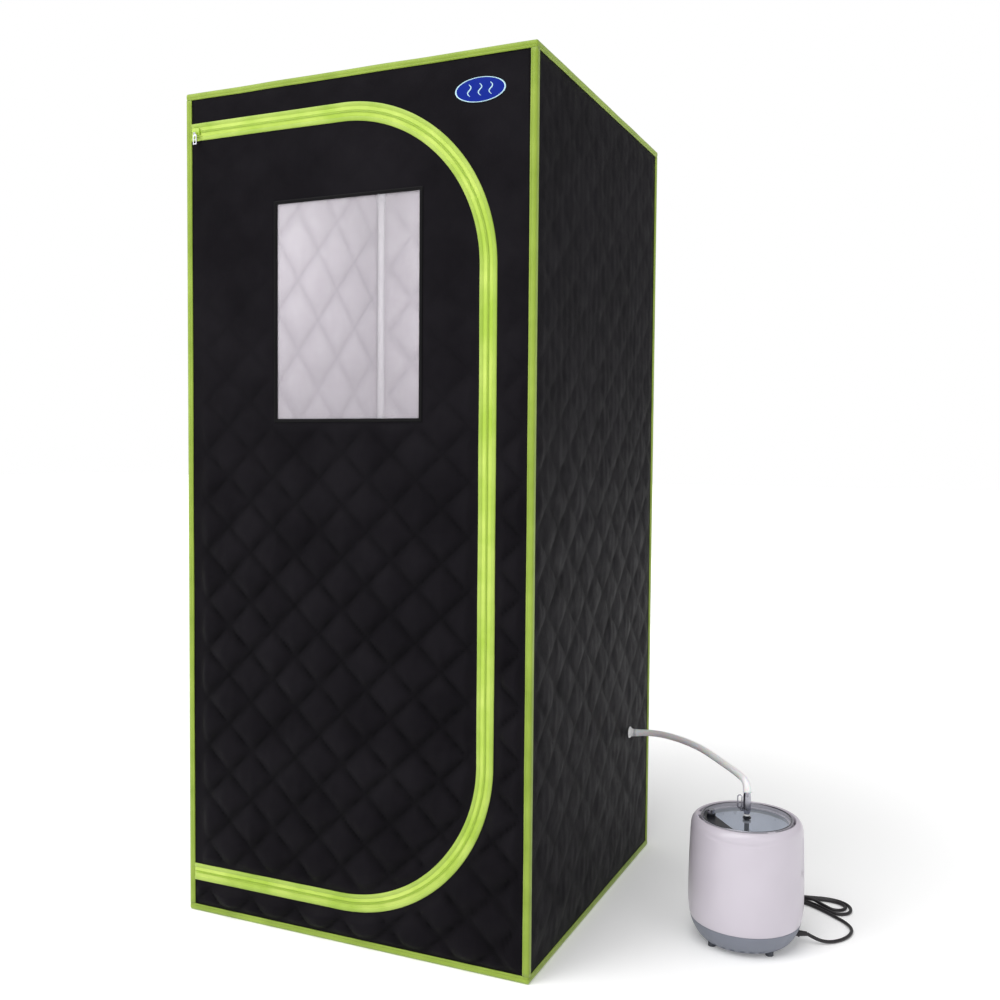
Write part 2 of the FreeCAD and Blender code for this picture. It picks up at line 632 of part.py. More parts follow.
def pot_housing():
    """The white wall of the pot, thin and open at both ends, with a hollow for a hand on two sides."""
    ends = [("0", "rim_low"), ("0", "base_top")]
    outer = turned("housing_outer", HOUSING_WALL + ends)
    inner = turned("housing_inner", [(f"{radius} - shell", height) for radius, height in HOUSING_WALL] + ends)
    reach = "belly_radius + grip_radius - grip_depth"
    scoops, thick_scoops = [], []
    for side, sign in (("left", "-1"), ("right", "1")):
        place = at_pot(f"{sign} * ({reach})", 0, "grip_low")
        scoops.append(rod(f"grip_{side}", "grip_radius", "grip_top - grip_low", place))
        thick_scoops.append(rod(f"grip_back_{side}", "grip_radius + shell", "grip_top - grip_low + 2 * shell",
                                (*place[:2], "grip_low - shell")))
    hollow = cut("housing_hollow", inner, fuse("grip_backs", thick_scoops))
    part(cut("housing", outer, fuse("housing_tools", [hollow] + scoops)), "pot_housing")


def pot_rim():
    """The thick rim on top of the housing, and the three catches inside it for the lock ring's lugs."""
    part(turned("rim", [("shoulder_radius + 0.6", "rim_low"), ("shoulder_radius - 2.5", "rim_top - 8"),
                        ("shoulder_radius - 8", "rim_top - 2"), ("shoulder_radius - 11", "rim_top"),
                        ("mouth_radius", "rim_top"), ("mouth_radius", "rim_low")]), "pot_rim")
    blanks = [sector(f"catch_{number}", "mouth_radius", f"{start} - lock_turn - catch_angle / 2",
                     f"{start} - lock_turn + catch_angle / 2", "rim_top - 3.5", "rim_top - 0.5")
              for number, start in enumerate(LUG_ANGLES, start=1)]
    core = rod("catch_core", "catch_radius", 20, at_pot(0, 0, "rim_top - 15"))
    part(cut("catches", group("catch_blanks", blanks), core), "lid_catches")


def water_tank():
    radius, wall = "tank_radius", "tank_wall"
    flange, flange_low = "mouth_radius + 4", f"rim_low - 2 * {wall}"
    part(turned("tank", [("0", "tank_low"), (f"{radius} - 12", "tank_low"), (f"{radius} - 3", "tank_low + 4"),
                         (radius, "tank_low + 12"), (radius, flange_low), (flange, flange_low),
                         (flange, "rim_low"), (f"{radius} - {wall}", "rim_low"),
                         (f"{radius} - {wall}", "tank_low + 12"), (f"{radius} - 4", f"tank_low + 4 + {wall}"),
                         (f"{radius} - 12.4", f"tank_low + {wall}"), ("0", f"tank_low + {wall}")]),
         "water_tank")
    seal = tube("seal_ring", f"{radius} + 5", radius, "ring_low - 0.5 - rim_low", at_pot(0, 0, "rim_low"))
    part(seal, "tank_seal")


def heater():
    low = "tank_low - plate_thick"
    part(rod("plate", "plate_radius", "plate_thick", at_pot(0, 0, low)), "heating_plate")
    part(rod("cutout", 9, 8, at_pot(30, 0, f"{low} - 8")), "thermal_cutout")
    floor = "foot_height + shell"
    part(block("terminals", at_pot(-45, -9, floor), at_pot(-11, 9, f"{floor} + 14")), "terminal_block")


def lid_disc(name):
    return rod(name, "lid_radius", "lid_thick", at_pot(0, 0, "lid_low"))


def beyond_chord(name):
    """A slab that covers the side of the lid beyond the black segment's edge."""
    slab = block(name, at_pot("chord * cos(chord_angle)", "chord * sin(chord_angle)", "lid_low - 5"),
                 at_pot("chord * cos(chord_angle) + 60", "chord * sin(chord_angle) + 200", "lid_low + 20"))
    turn = math.radians(value("chord_angle"))
    slab.Placement.Rotation = Rotation(Vector(0, 0, 1), value("chord_angle"))
    for axis, shift in (("x", 100 * math.sin(turn)), ("y", -100 * math.cos(turn))):
        trig = "cos" if axis == "x" else "sin"
        bind(slab, f"Placement.Base.{axis}", f"pot_{axis} + chord * {trig}(chord_angle) + {shift:.4f}")
    return slab


def lid():
    stem_hole = rod("lid_hole", "nozzle_radius + 0.05", 20, at_pot(0, 0, "lid_low - 5"))
    lid_cuts = fuse("lid_cuts", [stem_hole, beyond_chord("clear_side")])
    part(cut("clear_lid", lid_disc("lid_blank"), lid_cuts), "clear_lid")
    segment = common("segment_plate", [lid_disc("segment_blank"), beyond_chord("segment_side")])
    seat_place = at_pot("valve_x", "valve_y", "lid_low")
    seat = rod("valve_seat", "valve_radius", "lid_thick + 6", seat_place)
    seat_hole = rod("valve_hole", 2.5, 30, at_pot("valve_x", "valve_y", "lid_low - 5"))
    part(cut("segment", fuse("segment_seat", [segment, seat]), seat_hole), "lid_segment")
    weight_low = "lid_low + lid_thick + 6.3"
    cap = rod("weight_cap", 7.5, 8, at_pot("valve_x", "valve_y", weight_low))
    stem = rod("weight_stem", 2.4, 9, at_pot("valve_x", "valve_y", f"{weight_low} - 9"))
    part(fuse("weight", [cap, stem]), "valve_weight")


def lock_ring():
    inner = "lid_radius + ring_gap"
    ring = turned("ring_turned", [(f"{inner} - 4", "ring_low"), ("ring_radius", "ring_low"),
                                  ("ring_radius", "rim_top - 0.5"), (inner, "rim_top - 0.5"),
                                  (inner, "lid_low - 0.2"), (f"{inner} - 4", "lid_low - 0.2")])
    lugs = [sector(f"lug_{number}", "lug_radius", f"{start} - lug_angle / 2", f"{start} + lug_angle / 2",
                   "rim_top - 7", "rim_top - 4") for number, start in enumerate(LUG_ANGLES, start=1)]
    core = rod("lug_core", "ring_radius", 20, at_pot(0, 0, "rim_top - 15"))
    part(ring, "lock_ring")
    part(cut("lugs_only", fuse("lugs", lugs), core), "lock_lugs")


def steam_outlet():
    top_of_lid = "lid_low + lid_thick"
    stem = rod("stem", "nozzle_radius", "nozzle_top - nozzle_low", at_pot(0, 0, "nozzle_low"))
    flange = rod("stem_flange", 8.5, 2.5, at_pot(0, 0, top_of_lid))
    bore = rod("stem_bore", 3.5, 60, at_pot(0, 0, "nozzle_low - 2"))
    part(cut("nozzle", fuse("stem_blank", [stem, flange]), bore), "steam_nozzle")
    nut = doc.addObject("Part::Prism", "nut_blank")
    nut.Polygon = 6
    nut.Circumradius = 8.5
    bind(nut, "Height", 4.2)
    move(nut, at_pot(0, 0, "lid_low - 4.2"))
    part(cut("nut", nut, rod("nut_bore", "nozzle_radius", 10, at_pot(0, 0, "lid_low - 8"))), "nozzle_nut")


def release_place(out, across, height):
    """A place beside the hose connector: out from the pot's axis, across that direction, and a height."""
    return at_pot(f"({out}) * cos(release_angle) - ({across}) * sin(release_angle)",
                  f"({out}) * sin(release_angle) + ({across}) * cos(release_angle)", height)


def across_rod(name, radius, length, out, height):
    """A cylinder across the release direction, centred on the vertical plane through it."""
    item = rod(name, radius, length, release_place(out, f"-({length}) / 2", height))
    item.Placement.Rotation = Rotation(Vector(0, 0, 1), size("release_angle")) * AXIS_TURN["Y"]
    return item


def release_block(name, out, width, low, high, across=0):
    item = block(name, (0, 0, low), (f"{out[1]} - ({out[0]})", width, high))
    item.Placement.Rotation = Rotation(Vector(0, 0, 1), size("release_angle"))
    return move(item, release_place(out[0], f"{across} - {width} / 2", low))


def hose_connector():
    low, top = "connector_low", "connector_top"
    body = turned("connector_turned", [("3.5", f"{low}"), ("5.5", low), ("7", f"{low} + 4"),
                                       ("connector_radius", f"{low} + 8"), ("connector_radius", f"{top} - 8"),
                                       ("connector_radius - 1.2", top), ("port_nipple", top),
                                       ("port_nipple", f"{top} + nipple_length"),
                                       ("port_bore", f"{top} + nipple_length"), ("port_bore", "nozzle_top"),
                                       ("3.5", "nozzle_top")])
    stem_hole = rod("connector_bore", "nozzle_radius", f"nozzle_top - {low} + 1", at_pot(0, 0, f"{low} - 1"))
    ears = [release_block(f"connector_ear_{side}", ("connector_radius - 2", "release_out + 2"), 1.6,
                          "release_z - 2.2", "release_z + 2.2", across)
            for side, across in (("left", -4.3), ("right", 4.3))]
    pin = across_rod("connector_pin", 1.2, 10, "release_out", "release_z")
    part(fuse("connector", [cut("connector_drilled", body, stem_hole), pin] + ears), "hose_connector")

    eye = across_rod("loop_eye", 2.6, 6, "release_out", "release_z")
    ends = [across_rod(f"loop_{end}", 5.5, 3, "release_out + 3.2", height)
            for end, height in (("low", "release_z + 7"), ("high", "release_z + 25"))]
    sides = release_block("loop_sides", ("release_out - 2.3", "release_out + 8.7"), 3, "release_z + 7",
                          "release_z + 25")
    holes = [across_rod(f"loop_hole_{end}", 3.3, 6, "release_out + 3.2", height)
             for end, height in (("low", "release_z + 8"), ("high", "release_z + 25"))]
    middle = release_block("loop_middle", ("release_out - 0.1", "release_out + 6.5"), 6, "release_z + 8",
                           "release_z + 25")
    bore = across_rod("loop_bore", 1.26, 12, "release_out", "release_z")
    blank = fuse("loop_blank", [eye, sides] + ends)
    part(cut("loop", blank, fuse("loop_cuts", holes + [middle, bore])), "release_loop")


def cord_gland():
    wall = radial_rod("gland_neck", 6, 14, 93)
    nut = radial_rod("gland_nut", 7.5, 3, 106.5)
    relief = doc.addObject("Part::Cone", "gland_relief")
    relief.Radius1, relief.Radius2, relief.Height = 6, 4.4, 16
    relief.Placement.Rotation = Rotation(Vector(0, 0, 1), size("gland_angle")) * AXIS_TURN["X"]
    move(relief, at_pot("109 * cos(gland_angle)", "109 * sin(gland_angle)", "gland_z"))
    part(fuse("gland", [wall, nut, relief]), "cord_gland")


def power_plug():
    """A moulded plug that lies at the end of the folded cord."""
    x, y, z = 662, 211, 10.5
    relief = doc.addObject("Part::Cone", "plug_relief")
    relief.Radius1, relief.Radius2, relief.Height = 4.4, 7, 18
    relief.Placement = Placement(Vector(x, y, z), Rotation(Vector(0, 1, 0), -90))
    body = block("plug_body", (x - 46, y - 12, 0.5), (x - 17, y + 12, 20.5))
    blades = [block(f"plug_blade_{side}", (x - 63, y + offset, z - 3.2), (x - 45, y + offset + 1.5, z + 3.2))
              for side, offset in (("left", -7.1), ("right", 5.6))]
    part(fuse("plug", [relief, body] + blades), "power_plug")


# ---- build and write ----------------------------------------------------------------------------------

def build():
    fill_sheet()
    for make in (front_panel, door, zip_tapes, zip_slider, badge, plain_panels, bindings, uprights, rails,
                 connectors, joint_sleeves, steam_port, steam_hose, pot_base, feet, pot_housing, pot_rim,
                 water_tank, heater, lid, lock_ring, steam_outlet, hose_connector, cord_gland, power_cord,
                 folded_cord, power_plug):
        make()
    doc.recompute()
    for item in doc.Objects:
        if {"Invalid", "Error"} & set(item.State):
            raise RuntimeError(f"{item.Name} failed: {item.State}")
    for item in parts:
        if item.Shape.isNull() or not item.Shape.isValid() or not item.Shape.Solids:
            raise RuntimeError(f"{item.Label} has no valid solid")


def write():
    os.makedirs("parts", exist_ok=True)
    for item in parts:
        item.Shape.exportStep(f"parts/{item.Label}.step")
        box = item.Shape.BoundBox
        corners = (box.XMin, box.XMax, box.YMin, box.YMax, box.ZMin, box.ZMax)
        print(f"{item.Label:28s} solids {len(item.Shape.Solids)}  volume {item.Shape.Volume:12.1f}  box",
              *(f"{corner:8.1f}" for corner in corners))
    print(len(parts), "nodes")


build()
write()
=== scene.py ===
import math

import bpy
import numpy as np
from mathutils import Matrix, Vector


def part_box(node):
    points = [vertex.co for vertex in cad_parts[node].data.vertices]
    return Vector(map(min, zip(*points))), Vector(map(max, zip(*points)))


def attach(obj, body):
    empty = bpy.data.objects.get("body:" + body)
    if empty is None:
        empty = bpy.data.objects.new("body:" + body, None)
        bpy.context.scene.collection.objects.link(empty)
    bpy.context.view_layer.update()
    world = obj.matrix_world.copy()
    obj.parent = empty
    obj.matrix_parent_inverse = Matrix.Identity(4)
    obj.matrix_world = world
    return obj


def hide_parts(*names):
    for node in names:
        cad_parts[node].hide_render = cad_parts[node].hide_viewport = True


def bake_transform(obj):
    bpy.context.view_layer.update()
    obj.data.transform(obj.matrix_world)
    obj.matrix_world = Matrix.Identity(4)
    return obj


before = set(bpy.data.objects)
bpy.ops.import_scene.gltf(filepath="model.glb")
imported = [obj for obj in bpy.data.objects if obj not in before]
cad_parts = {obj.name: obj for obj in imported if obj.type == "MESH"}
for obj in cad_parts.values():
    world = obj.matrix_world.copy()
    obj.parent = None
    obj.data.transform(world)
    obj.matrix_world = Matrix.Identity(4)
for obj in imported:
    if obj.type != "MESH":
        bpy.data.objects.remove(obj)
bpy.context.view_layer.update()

# ---- places and sizes, in metres, worked out from the CAD frame ----

FACE = -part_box("front_panel")[0].y                  # from the cabin's middle to its panels' outer faces
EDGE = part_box("front_panel")[1].x                   # the panels end here, under the edge binding
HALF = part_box("top_binding")[1].x                   # half the cabin's side, over the binding
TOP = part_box("top_binding")[1].z
LINING = -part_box("front_panel")[1].y                # and to their inner faces
PANEL_LOW, PANEL_TOP = (corner.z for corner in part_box("front_panel"))
TAPE = 0.018                                        # width of one half of the zip's band
ZIP_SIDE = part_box("zip_tape_frame")[1].x - TAPE     # the zip's middle line: upright run, top run, bottom run
ZIP_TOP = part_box("zip_tape_frame")[1].z - TAPE
ZIP_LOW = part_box("zip_tape_frame")[0].z + TAPE
ZIP_BEND = 0.320
BEND_X = ZIP_SIDE - ZIP_BEND
WINDOW = [(corner.x, corner.z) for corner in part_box("door_window")]
pot_low, pot_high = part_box("pot_housing")
POT = Vector(((pot_low.x + pot_high.x) / 2, (pot_low.y + pot_high.y) / 2, 0))
DIAMOND = (0.112, 0.105)                            # width and height of one quilted diamond
ROOF_SINK = 0.0025                                  # the roof lies this far below the top binding
PORT_RADIUS = 0.0135                                # of the steam port's flange
ZIP_STEP = 0.007


# ---- materials ----

def tint(red, green, blue):
    """A linear colour from 0-255 display values."""
    channels = [c / 255 for c in (red, green, blue)]
    return tuple(c / 12.92 if c <= 0.04045 else ((c + 0.055) / 1.055) ** 2.4 for c in channels) + (1.0,)


class Shader:
    """A Principled material, with short ways to add the nodes that drive it."""

    def __init__(self, name, colour=(0.8, 0.8, 0.8, 1), **sockets):
        self.material = bpy.data.materials.new(name)
        self.material.use_nodes = True
        self.tree = self.material.node_tree
        self.surface = self.tree.nodes["Principled BSDF"]
        self.surface.inputs["Base Color"].default_value = colour
        for socket, value in sockets.items():
            self.surface.inputs[socket.replace("_", " ").title().replace("Ior", "IOR")].default_value = value
        self.place = self.add("ShaderNodeTexCoord").outputs["Object"]

    def add(self, kind, **settings):
        node = self.tree.nodes.new(kind)
        for setting, value in settings.items():
            setattr(node, setting, value)
        return node

    def feed(self, socket, value):
        if isinstance(value, bpy.types.NodeSocket):
            self.tree.links.new(value, socket)
        else:
            socket.default_value = value

    def maths(self, operation, *values):
        node = self.add("ShaderNodeMath", operation=operation)
        for socket, value in zip(node.inputs, values):
            self.feed(socket, value)
        return node.outputs[0]

    def axes(self):
        node = self.add("ShaderNodeSeparateXYZ")
        self.feed(node.inputs[0], self.place)
        return node.outputs

    def noise(self, scale, detail=3.0, stretch=(1, 1, 1)):
        mapping = self.add("ShaderNodeMapping")
        mapping.inputs["Scale"].default_value = stretch
        self.feed(mapping.inputs[0], self.place)
        node = self.add("ShaderNodeTexNoise")
        node.inputs["Scale"].default_value, node.inputs["Detail"].default_value = scale, detail
        self.feed(node.inputs["Vector"], mapping.outputs[0])
        return node.outputs["Fac"]

    def spread(self, value, low, high, to_low=0.0, to_high=1.0):
        """Maps a value's range to another, with clamping."""
        node = self.add("ShaderNodeMapRange")
        for socket, number in zip(node.inputs, (value, low, high, to_low, to_high)):
            self.feed(socket, number)
        return node.outputs[0]

    def mix(self, factor, first, second):
        node = self.add("ShaderNodeMix", data_type="RGBA")
        for socket, value in ((node.inputs[0], factor), (node.inputs[6], first), (node.inputs[7], second)):
            self.feed(socket, value)
        return node.outputs[2]

    def bump(self, height, distance, strength=1.0):
        """Adds one layer of bump over those that are there."""
        node = self.add("ShaderNodeBump")
        node.inputs["Strength"].default_value, node.inputs["Distance"].default_value = strength, distance
        self.feed(node.inputs["Height"], height)
        below = self.surface.inputs["Normal"]
        if below.is_linked:
            self.feed(node.inputs["Normal"], below.links[0].from_socket)
        self.feed(below, node.outputs[0])

    def colour(self, value):
        self.feed(self.surface.inputs["Base Color"], value)

    def rough(self, value):
        self.feed(self.surface.inputs["Roughness"], value)

    def weave(self, across, along, pitch):
        """Height of a plain weave with the given thread pitch."""
        first = self.maths("SINE", self.maths("MULTIPLY", across, math.tau / pitch))
        second = self.maths("SINE", self.maths("MULTIPLY", along, math.tau / pitch))
        return self.maths("MULTIPLY", first, second)


def quilt_material(name, colour, light, seam, flat=False, **sockets):
    """Quilted cloth: woven, a little uneven, with stitching along the sides of the diamonds, and the seam
    colour laid as painted shade in the creases round each diamond.
    """
    shader = Shader(name, colour, **sockets)
    x, y, z = shader.axes()
    across = x if flat else shader.maths("ADD", x, y)
    along = y if flat else z
    shader.bump(shader.weave(across, along, 0.0011), 0.00012, 0.6)
    shader.bump(shader.noise(260, 4, (1, 1, 0.25)), 0.0006, 0.5)
    shader.bump(shader.noise(60, 3), 0.001, 0.4)
    patches = shader.spread(shader.noise(9, 3), 0.35, 0.7)
    base = shader.mix(patches, colour, light)
    # The seam attribute holds the stitch line and the painted crease shade; both pull the cloth towards the
    # seam colour, in dashes along the stitching.
    line = shader.add("ShaderNodeAttribute", attribute_name="seam").outputs["Fac"]
    stitch = shader.spread(shader.maths("SINE", shader.maths("MULTIPLY", along, math.tau / 0.004)), -0.3, 0.3)
    stitch_dash_and_crease_shade = shader.maths("MULTIPLY", line, shader.spread(stitch, 0, 1, 0.5, 0.9))
    shader.colour(shader.mix(stitch_dash_and_crease_shade, base, seam))
    rough = shader.surface.inputs["Roughness"].default_value
    shader.rough(shader.spread(shader.noise(25, 3), 0.3, 0.7, rough - 0.06, rough + 0.08))
    return shader.material


def tape_material(name, colour, light, ribs=0.0016, sheen=0.15, gloss=0.35):
    """Woven tape: fine ribs across, with paler streaks."""
    shader = Shader(name, colour, roughness=0.48, specular_ior_level=gloss, sheen_weight=sheen)
    x, y, z = shader.axes()
    sum_all = shader.maths("ADD", shader.maths("ADD", x, y), z)
    shader.bump(shader.maths("SINE", shader.maths("MULTIPLY", sum_all, math.tau / ribs)), 0.0001, 0.5)
    shader.bump(shader.noise(180, 3), 0.0004, 0.5)
    streaks = shader.spread(shader.noise(14, 4), 0.35, 0.68)
    shader.colour(shader.mix(streaks, colour, light))
    return shader.material


def plastic(name, colour, roughness, grain=900, grain_depth=0.00005, variation=0.06, **sockets):
    shader = Shader(name, colour, roughness=roughness, **sockets)
    darker = tuple(c * (1 - variation) for c in colour[:3]) + (1.0,)
    shader.colour(shader.mix(shader.spread(shader.noise(6, 3), 0.35, 0.65), colour, darker))
    shader.rough(shader.spread(shader.noise(40, 3), 0.3, 0.7, roughness * 0.85, min(1, roughness * 1.15)))
    shader.bump(shader.noise(grain, 2), grain_depth, 0.4)
    return shader.material


def metal(name, colour, roughness, stretch=(1, 1, 1), metallic=1.0):
    shader = Shader(name, colour, roughness=roughness, metallic=metallic)
    shader.rough(shader.spread(shader.noise(90, 4, stretch), 0.3, 0.7, roughness * 0.7, roughness * 1.5))
    shader.bump(shader.noise(400, 3, stretch), 0.00003, 0.4)
    return shader.material


def clear(name, colour, alpha, roughness):
    shader = Shader(name, colour, roughness=roughness, alpha=alpha, specular_ior_level=0.6)
    shader.bump(shader.noise(18, 2), 0.0008, 0.5)
    shader.rough(shader.spread(shader.noise(30, 3), 0.3, 0.7, roughness * 0.7, roughness * 1.4))
    return shader.material


def cloth_pair(name, *tints, **sockets):
    """The same cloth twice: for upright panels and for level ones."""
    return (quilt_material(name, *tints, **sockets),
            quilt_material(name + "_flat", *tints, True, **sockets))


# The third colour of each cloth is its stitching's, and is also painted shade laid in the creases between the
# diamonds.
cover_cloth, cover_flat = cloth_pair("cover_cloth", tint(17, 15, 19), tint(24, 22, 26), tint(3, 3, 4),
                                     roughness=0.46, specular_ior_level=0.035)
lining_cloth, lining_flat = cloth_pair("lining_cloth", tint(182, 176, 182), tint(198, 193, 199),
                                       tint(132, 127, 133), roughness=0.42, specular_ior_level=0.5)
binding_tape = tape_material("binding_tape", tint(132, 157, 44), tint(150, 174, 62))
lime_tape = tape_material("lime_tape", tint(166, 198, 62), tint(196, 219, 100))
lime_edge = tape_material("lime_edge", tint(150, 180, 60), tint(174, 198, 88))
lime_plastic = plastic("lime_plastic", tint(178, 208, 76), 0.35)
window_tape = tape_material("window_tape", tint(9, 9, 10), tint(14, 13, 15), sheen=0.0, gloss=0.1)
clear_sheet = clear("clear_sheet", tint(226, 220, 228), 0.22, 0.12)
badge_blue = plastic("badge_blue", tint(4, 34, 136), 0.6, 1400, 0.0002, specular_ior_level=0.12)
badge_pale = plastic("badge_pale", tint(190, 226, 236), 0.5, 1400, 0.0002)
tube_plastic = plastic("tube_plastic", tint(222, 222, 224), 0.38)
socket_plastic = plastic("socket_plastic", tint(205, 206, 210), 0.42)
housing_plastic = plastic("housing_plastic", tint(206, 199, 209), 0.34, coat_weight=0.15, coat_roughness=0.2)
base_plastic = plastic("base_plastic", tint(122, 126, 138), 0.5)
black_plastic = plastic("black_plastic", tint(24, 26, 32), 0.35)
port_plastic = plastic("port_plastic", tint(232, 232, 233), 0.35)
hose_rubber = plastic("hose_rubber", tint(250, 249, 250), 0.36, 500, 0.0001, subsurface_weight=0.3,
                      subsurface_scale=0.01)
cord_rubber = plastic("cord_rubber", tint(34, 31, 34), 0.42, 700, 0.0001)
foot_rubber = plastic("foot_rubber", tint(74, 77, 85), 0.75)
seal_rubber = plastic("seal_rubber", tint(206, 208, 212), 0.6)
chrome = metal("chrome", tint(168, 168, 176), 0.16)
steel = metal("tank_steel", tint(236, 240, 248), 0.36, (1, 1, 0.6), metallic=0.2)
alloy = metal("heater_alloy", tint(180, 180, 182), 0.5)
clear_lid_plastic = clear("clear_lid_plastic", tint(214, 222, 236), 0.06, 0.05)
ring_plastic = clear("ring_plastic", tint(206, 203, 211), 0.72, 0.16)


# ---- mesh helpers ----

def signed_volume(mesh):
    """Six times a closed mesh's volume, below zero if its faces look inwards."""
    mesh.calc_loop_triangles()
    corners = np.empty(len(mesh.loop_triangles) * 3, np.int32)
    mesh.loop_triangles.foreach_get("vertices", corners)
    spots = np.empty(len(mesh.vertices) * 3)
    mesh.vertices.foreach_get("co", spots)
    spots = spots.reshape(-1, 3) - spots.reshape(-1, 3).mean(0)
    first, second, third = (spots[corners.reshape(-1, 3)[:, k]] for k in range(3))
    return float(np.einsum("ij,ij->", first, np.cross(second, third)))


def mesh_object(name, vertices, faces, materials, indices=None, seam=None, smooth=True):
    mesh = bpy.data.meshes.new(name)
    mesh.from_pydata(np.asarray(vertices, float).tolist(), [], np.asarray(faces).tolist()
                     if isinstance(faces, np.ndarray) else faces)
    for material in materials:
        mesh.materials.append(material)
    if indices is not None:
        mesh.polygons.foreach_set("material_index", np.asarray(indices, np.int32))
    # The seam attribute: stitch line and painted crease shade, which darken the quilted cloth.
    if seam is not None:
        mesh.attributes.new("seam", "FLOAT", "POINT").data.foreach_set("value", np.asarray(seam, np.float32))
    mesh.polygons.foreach_set("use_smooth", np.full(len(mesh.polygons), smooth))
    mesh.update()
    if signed_volume(mesh) < 0:
        mesh.flip_normals()
    piece = bpy.data.objects.new(name, mesh)
    bpy.context.scene.collection.objects.link(piece)
    return piece


def settle(piece, body, slot, *nodes):
    """A piece rides on a body and stands for CAD nodes; its slot is not used."""
    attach(piece, body)
    if nodes:
        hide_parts(*nodes)
    return piece


def settle_on_hinge(piece, node):
    """A piece sewn to the cabin along the door's hinge; its place is baked into its mesh and it stands for a
    CAD node.
    """
    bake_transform(piece)
    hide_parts(node)


def smoothstep(low, high, value):
    share = np.clip((value - low) / (high - low), 0, 1)
    return share * share * (3 - 2 * share)


def waves(across, along, scale, seed, octaves=3):
    """Smooth seeded unevenness, about -1 to 1, from sums of sines in several directions."""
    source = np.random.default_rng(seed)
    total = np.zeros(np.broadcast(across, along).shape)
    for _ in range(octaves * 4):
        angle, phase = source.uniform(0, math.pi), source.uniform(0, math.tau)
        pitch = scale * source.uniform(0.6, 1.7)
        total += np.sin(math.tau * (across * math.cos(angle) + along * math.sin(angle)) / pitch + phase)
    return total / (octaves * 2.2)


SIDES = {  # across, up and outward directions of each panel, seen from outside
    "front": ((1, 0, 0), (0, 0, 1), (0, -1, 0)),
    "right": ((0, 1, 0), (0, 0, 1), (1, 0, 0)),
    "rear": ((-1, 0, 0), (0, 0, 1), (0, 1, 0)),
    "left": ((0, -1, 0), (0, 0, 1), (-1, 0, 0)),
    "roof": ((1, 0, 0), (0, 1, 0), (0, 0, 1)),
    "floor": ((1, 0, 0), (0, -1, 0), (0, 0, -1)),
}


def on_side(side, across, up, out):
    return np.stack([across, up, out], -1) @ np.array(SIDES[side], float)


def diamonds(across, up, pitch, seed):
    """Quilted relief from 0 at the stitching to 1 at a crown, and a 0 to 1 mark for painted shade in the
    creases near the stitching together with the stitch line itself.
    """
    first, second = across / pitch[0] + up / pitch[1], across / pitch[0] - up / pitch[1]
    edges = [np.abs(np.mod(line, 1) - 0.5) * 2 for line in (first, second)]
    puff = (1 - edges[0] ** 2.4) * (1 - edges[1] ** 2.4)
    height_in_cell = np.mod(first, 1) - np.mod(second, 1)
    puff = puff * (1 - 0.42 * height_in_cell)
    cell = np.sin(np.floor(first) * 12.9898 + np.floor(second) * 78.233 + seed) * 43758.5453
    puff = np.clip(puff, 0, None) ** 0.8 * (0.82 + 0.3 * np.mod(cell, 1))
    nearest = np.maximum(edges[0], edges[1])
    # Half painted crease shade, broad towards the stitching, and half the narrow stitch line itself.
    stitch_and_crease_shade = 0.5 * smoothstep(0.55, 1.0, nearest) + 0.5 * smoothstep(0.95, 0.995, nearest)
    return puff, stitch_and_crease_shade


def shell(name, faces, outer, inner, outer_stitch_and_shade, materials, inner_stitch_and_shade=None):
    """A closed sheet between two sets of points that share their faces, with a rim round every free edge."""
    used = np.unique(faces)
    renumber = np.zeros(faces.max() + 1, int)
    renumber[used] = np.arange(len(used))
    faces, outer, inner, outer_stitch_and_shade = renumber[faces], outer[used], inner[used], outer_stitch_and_shade[used]
    inner_stitch_and_shade = outer_stitch_and_shade if inner_stitch_and_shade is None else inner_stitch_and_shade[used]
    count = len(used)
    starts, ends = faces.ravel(), np.roll(faces, -1, axis=1).ravel()
    keys = starts * count + ends
    free = ~np.isin(keys, ends * count + starts)
    a, b = starts[free], ends[free]
    rim = np.stack([b, a, a + count, b + count], 1)
    every = np.concatenate([faces, faces[:, ::-1] + count, rim])
    index = np.concatenate([np.zeros(len(faces)), np.ones(len(faces)), np.zeros(len(rim))])
    # Each point carries its stitch line and painted crease shade, outside and then inside.
    return mesh_object(name, np.concatenate([outer, inner]), every, materials, index,
                       np.concatenate([outer_stitch_and_shade, inner_stitch_and_shade]))


def grid_lines(low, high, step, *fixed):
    """Evenly spaced lines from low to high that also pass through the fixed values."""
    stops = [low, *sorted(fixed), high]
    spans = [np.linspace(a, b, max(1, round((b - a) / step)) + 1)[:-1] for a, b in zip(stops, stops[1:])]
    return np.concatenate([*spans, [high]])


def strip_faces(rows, columns, closed_rows=False, closed_columns=False):
    """Quads between the points of a rows x columns grid, which may close on itself either way."""
    first = np.arange(rows if closed_rows else rows - 1)[:, None]
    second = np.arange(columns if closed_columns else columns - 1)[None, :]
    below, beside = (first + 1) % rows, (second + 1) % columns
    quads = [first * columns + second, first * columns + beside,
             below * columns + beside, below * columns + second]
    return np.stack([quad.ravel() for quad in np.broadcast_arrays(*quads)], 1)


def swept_band(name, points, materials, indices=None, closed=False):
    """A solid from a closed section at each place of a path: points is path x section x 3."""
    places, section = points.shape[:2]
    faces = strip_faces(places, section, closed, True)
    index = None if indices is None else np.tile(indices, places if closed else places - 1)
    faces = [list(map(int, face)) for face in faces]
    if not closed:
        faces += [list(range(section))[::-1], list(range((places - 1) * section, places * section))]
        index = None if index is None else np.append(index, [0, 0])
    return mesh_object(name, points.reshape(-1, 3), faces, materials, index)


def chaikin(points, passes=2, closed=True):
    """Cuts the corners of a line of points, to round them."""
    points = np.asarray(points, float)
    for _ in range(passes):
        following = np.roll(points, -1, axis=0) if closed else points[1:]
        start = points if closed else points[:-1]
        cuts = np.stack([0.75 * start + 0.25 * following, 0.25 * start + 0.75 * following], 1)
        middle = cuts.reshape(-1, points.shape[1])
        points = middle if closed else np.concatenate([points[:1], middle, points[-1:]])
    return points


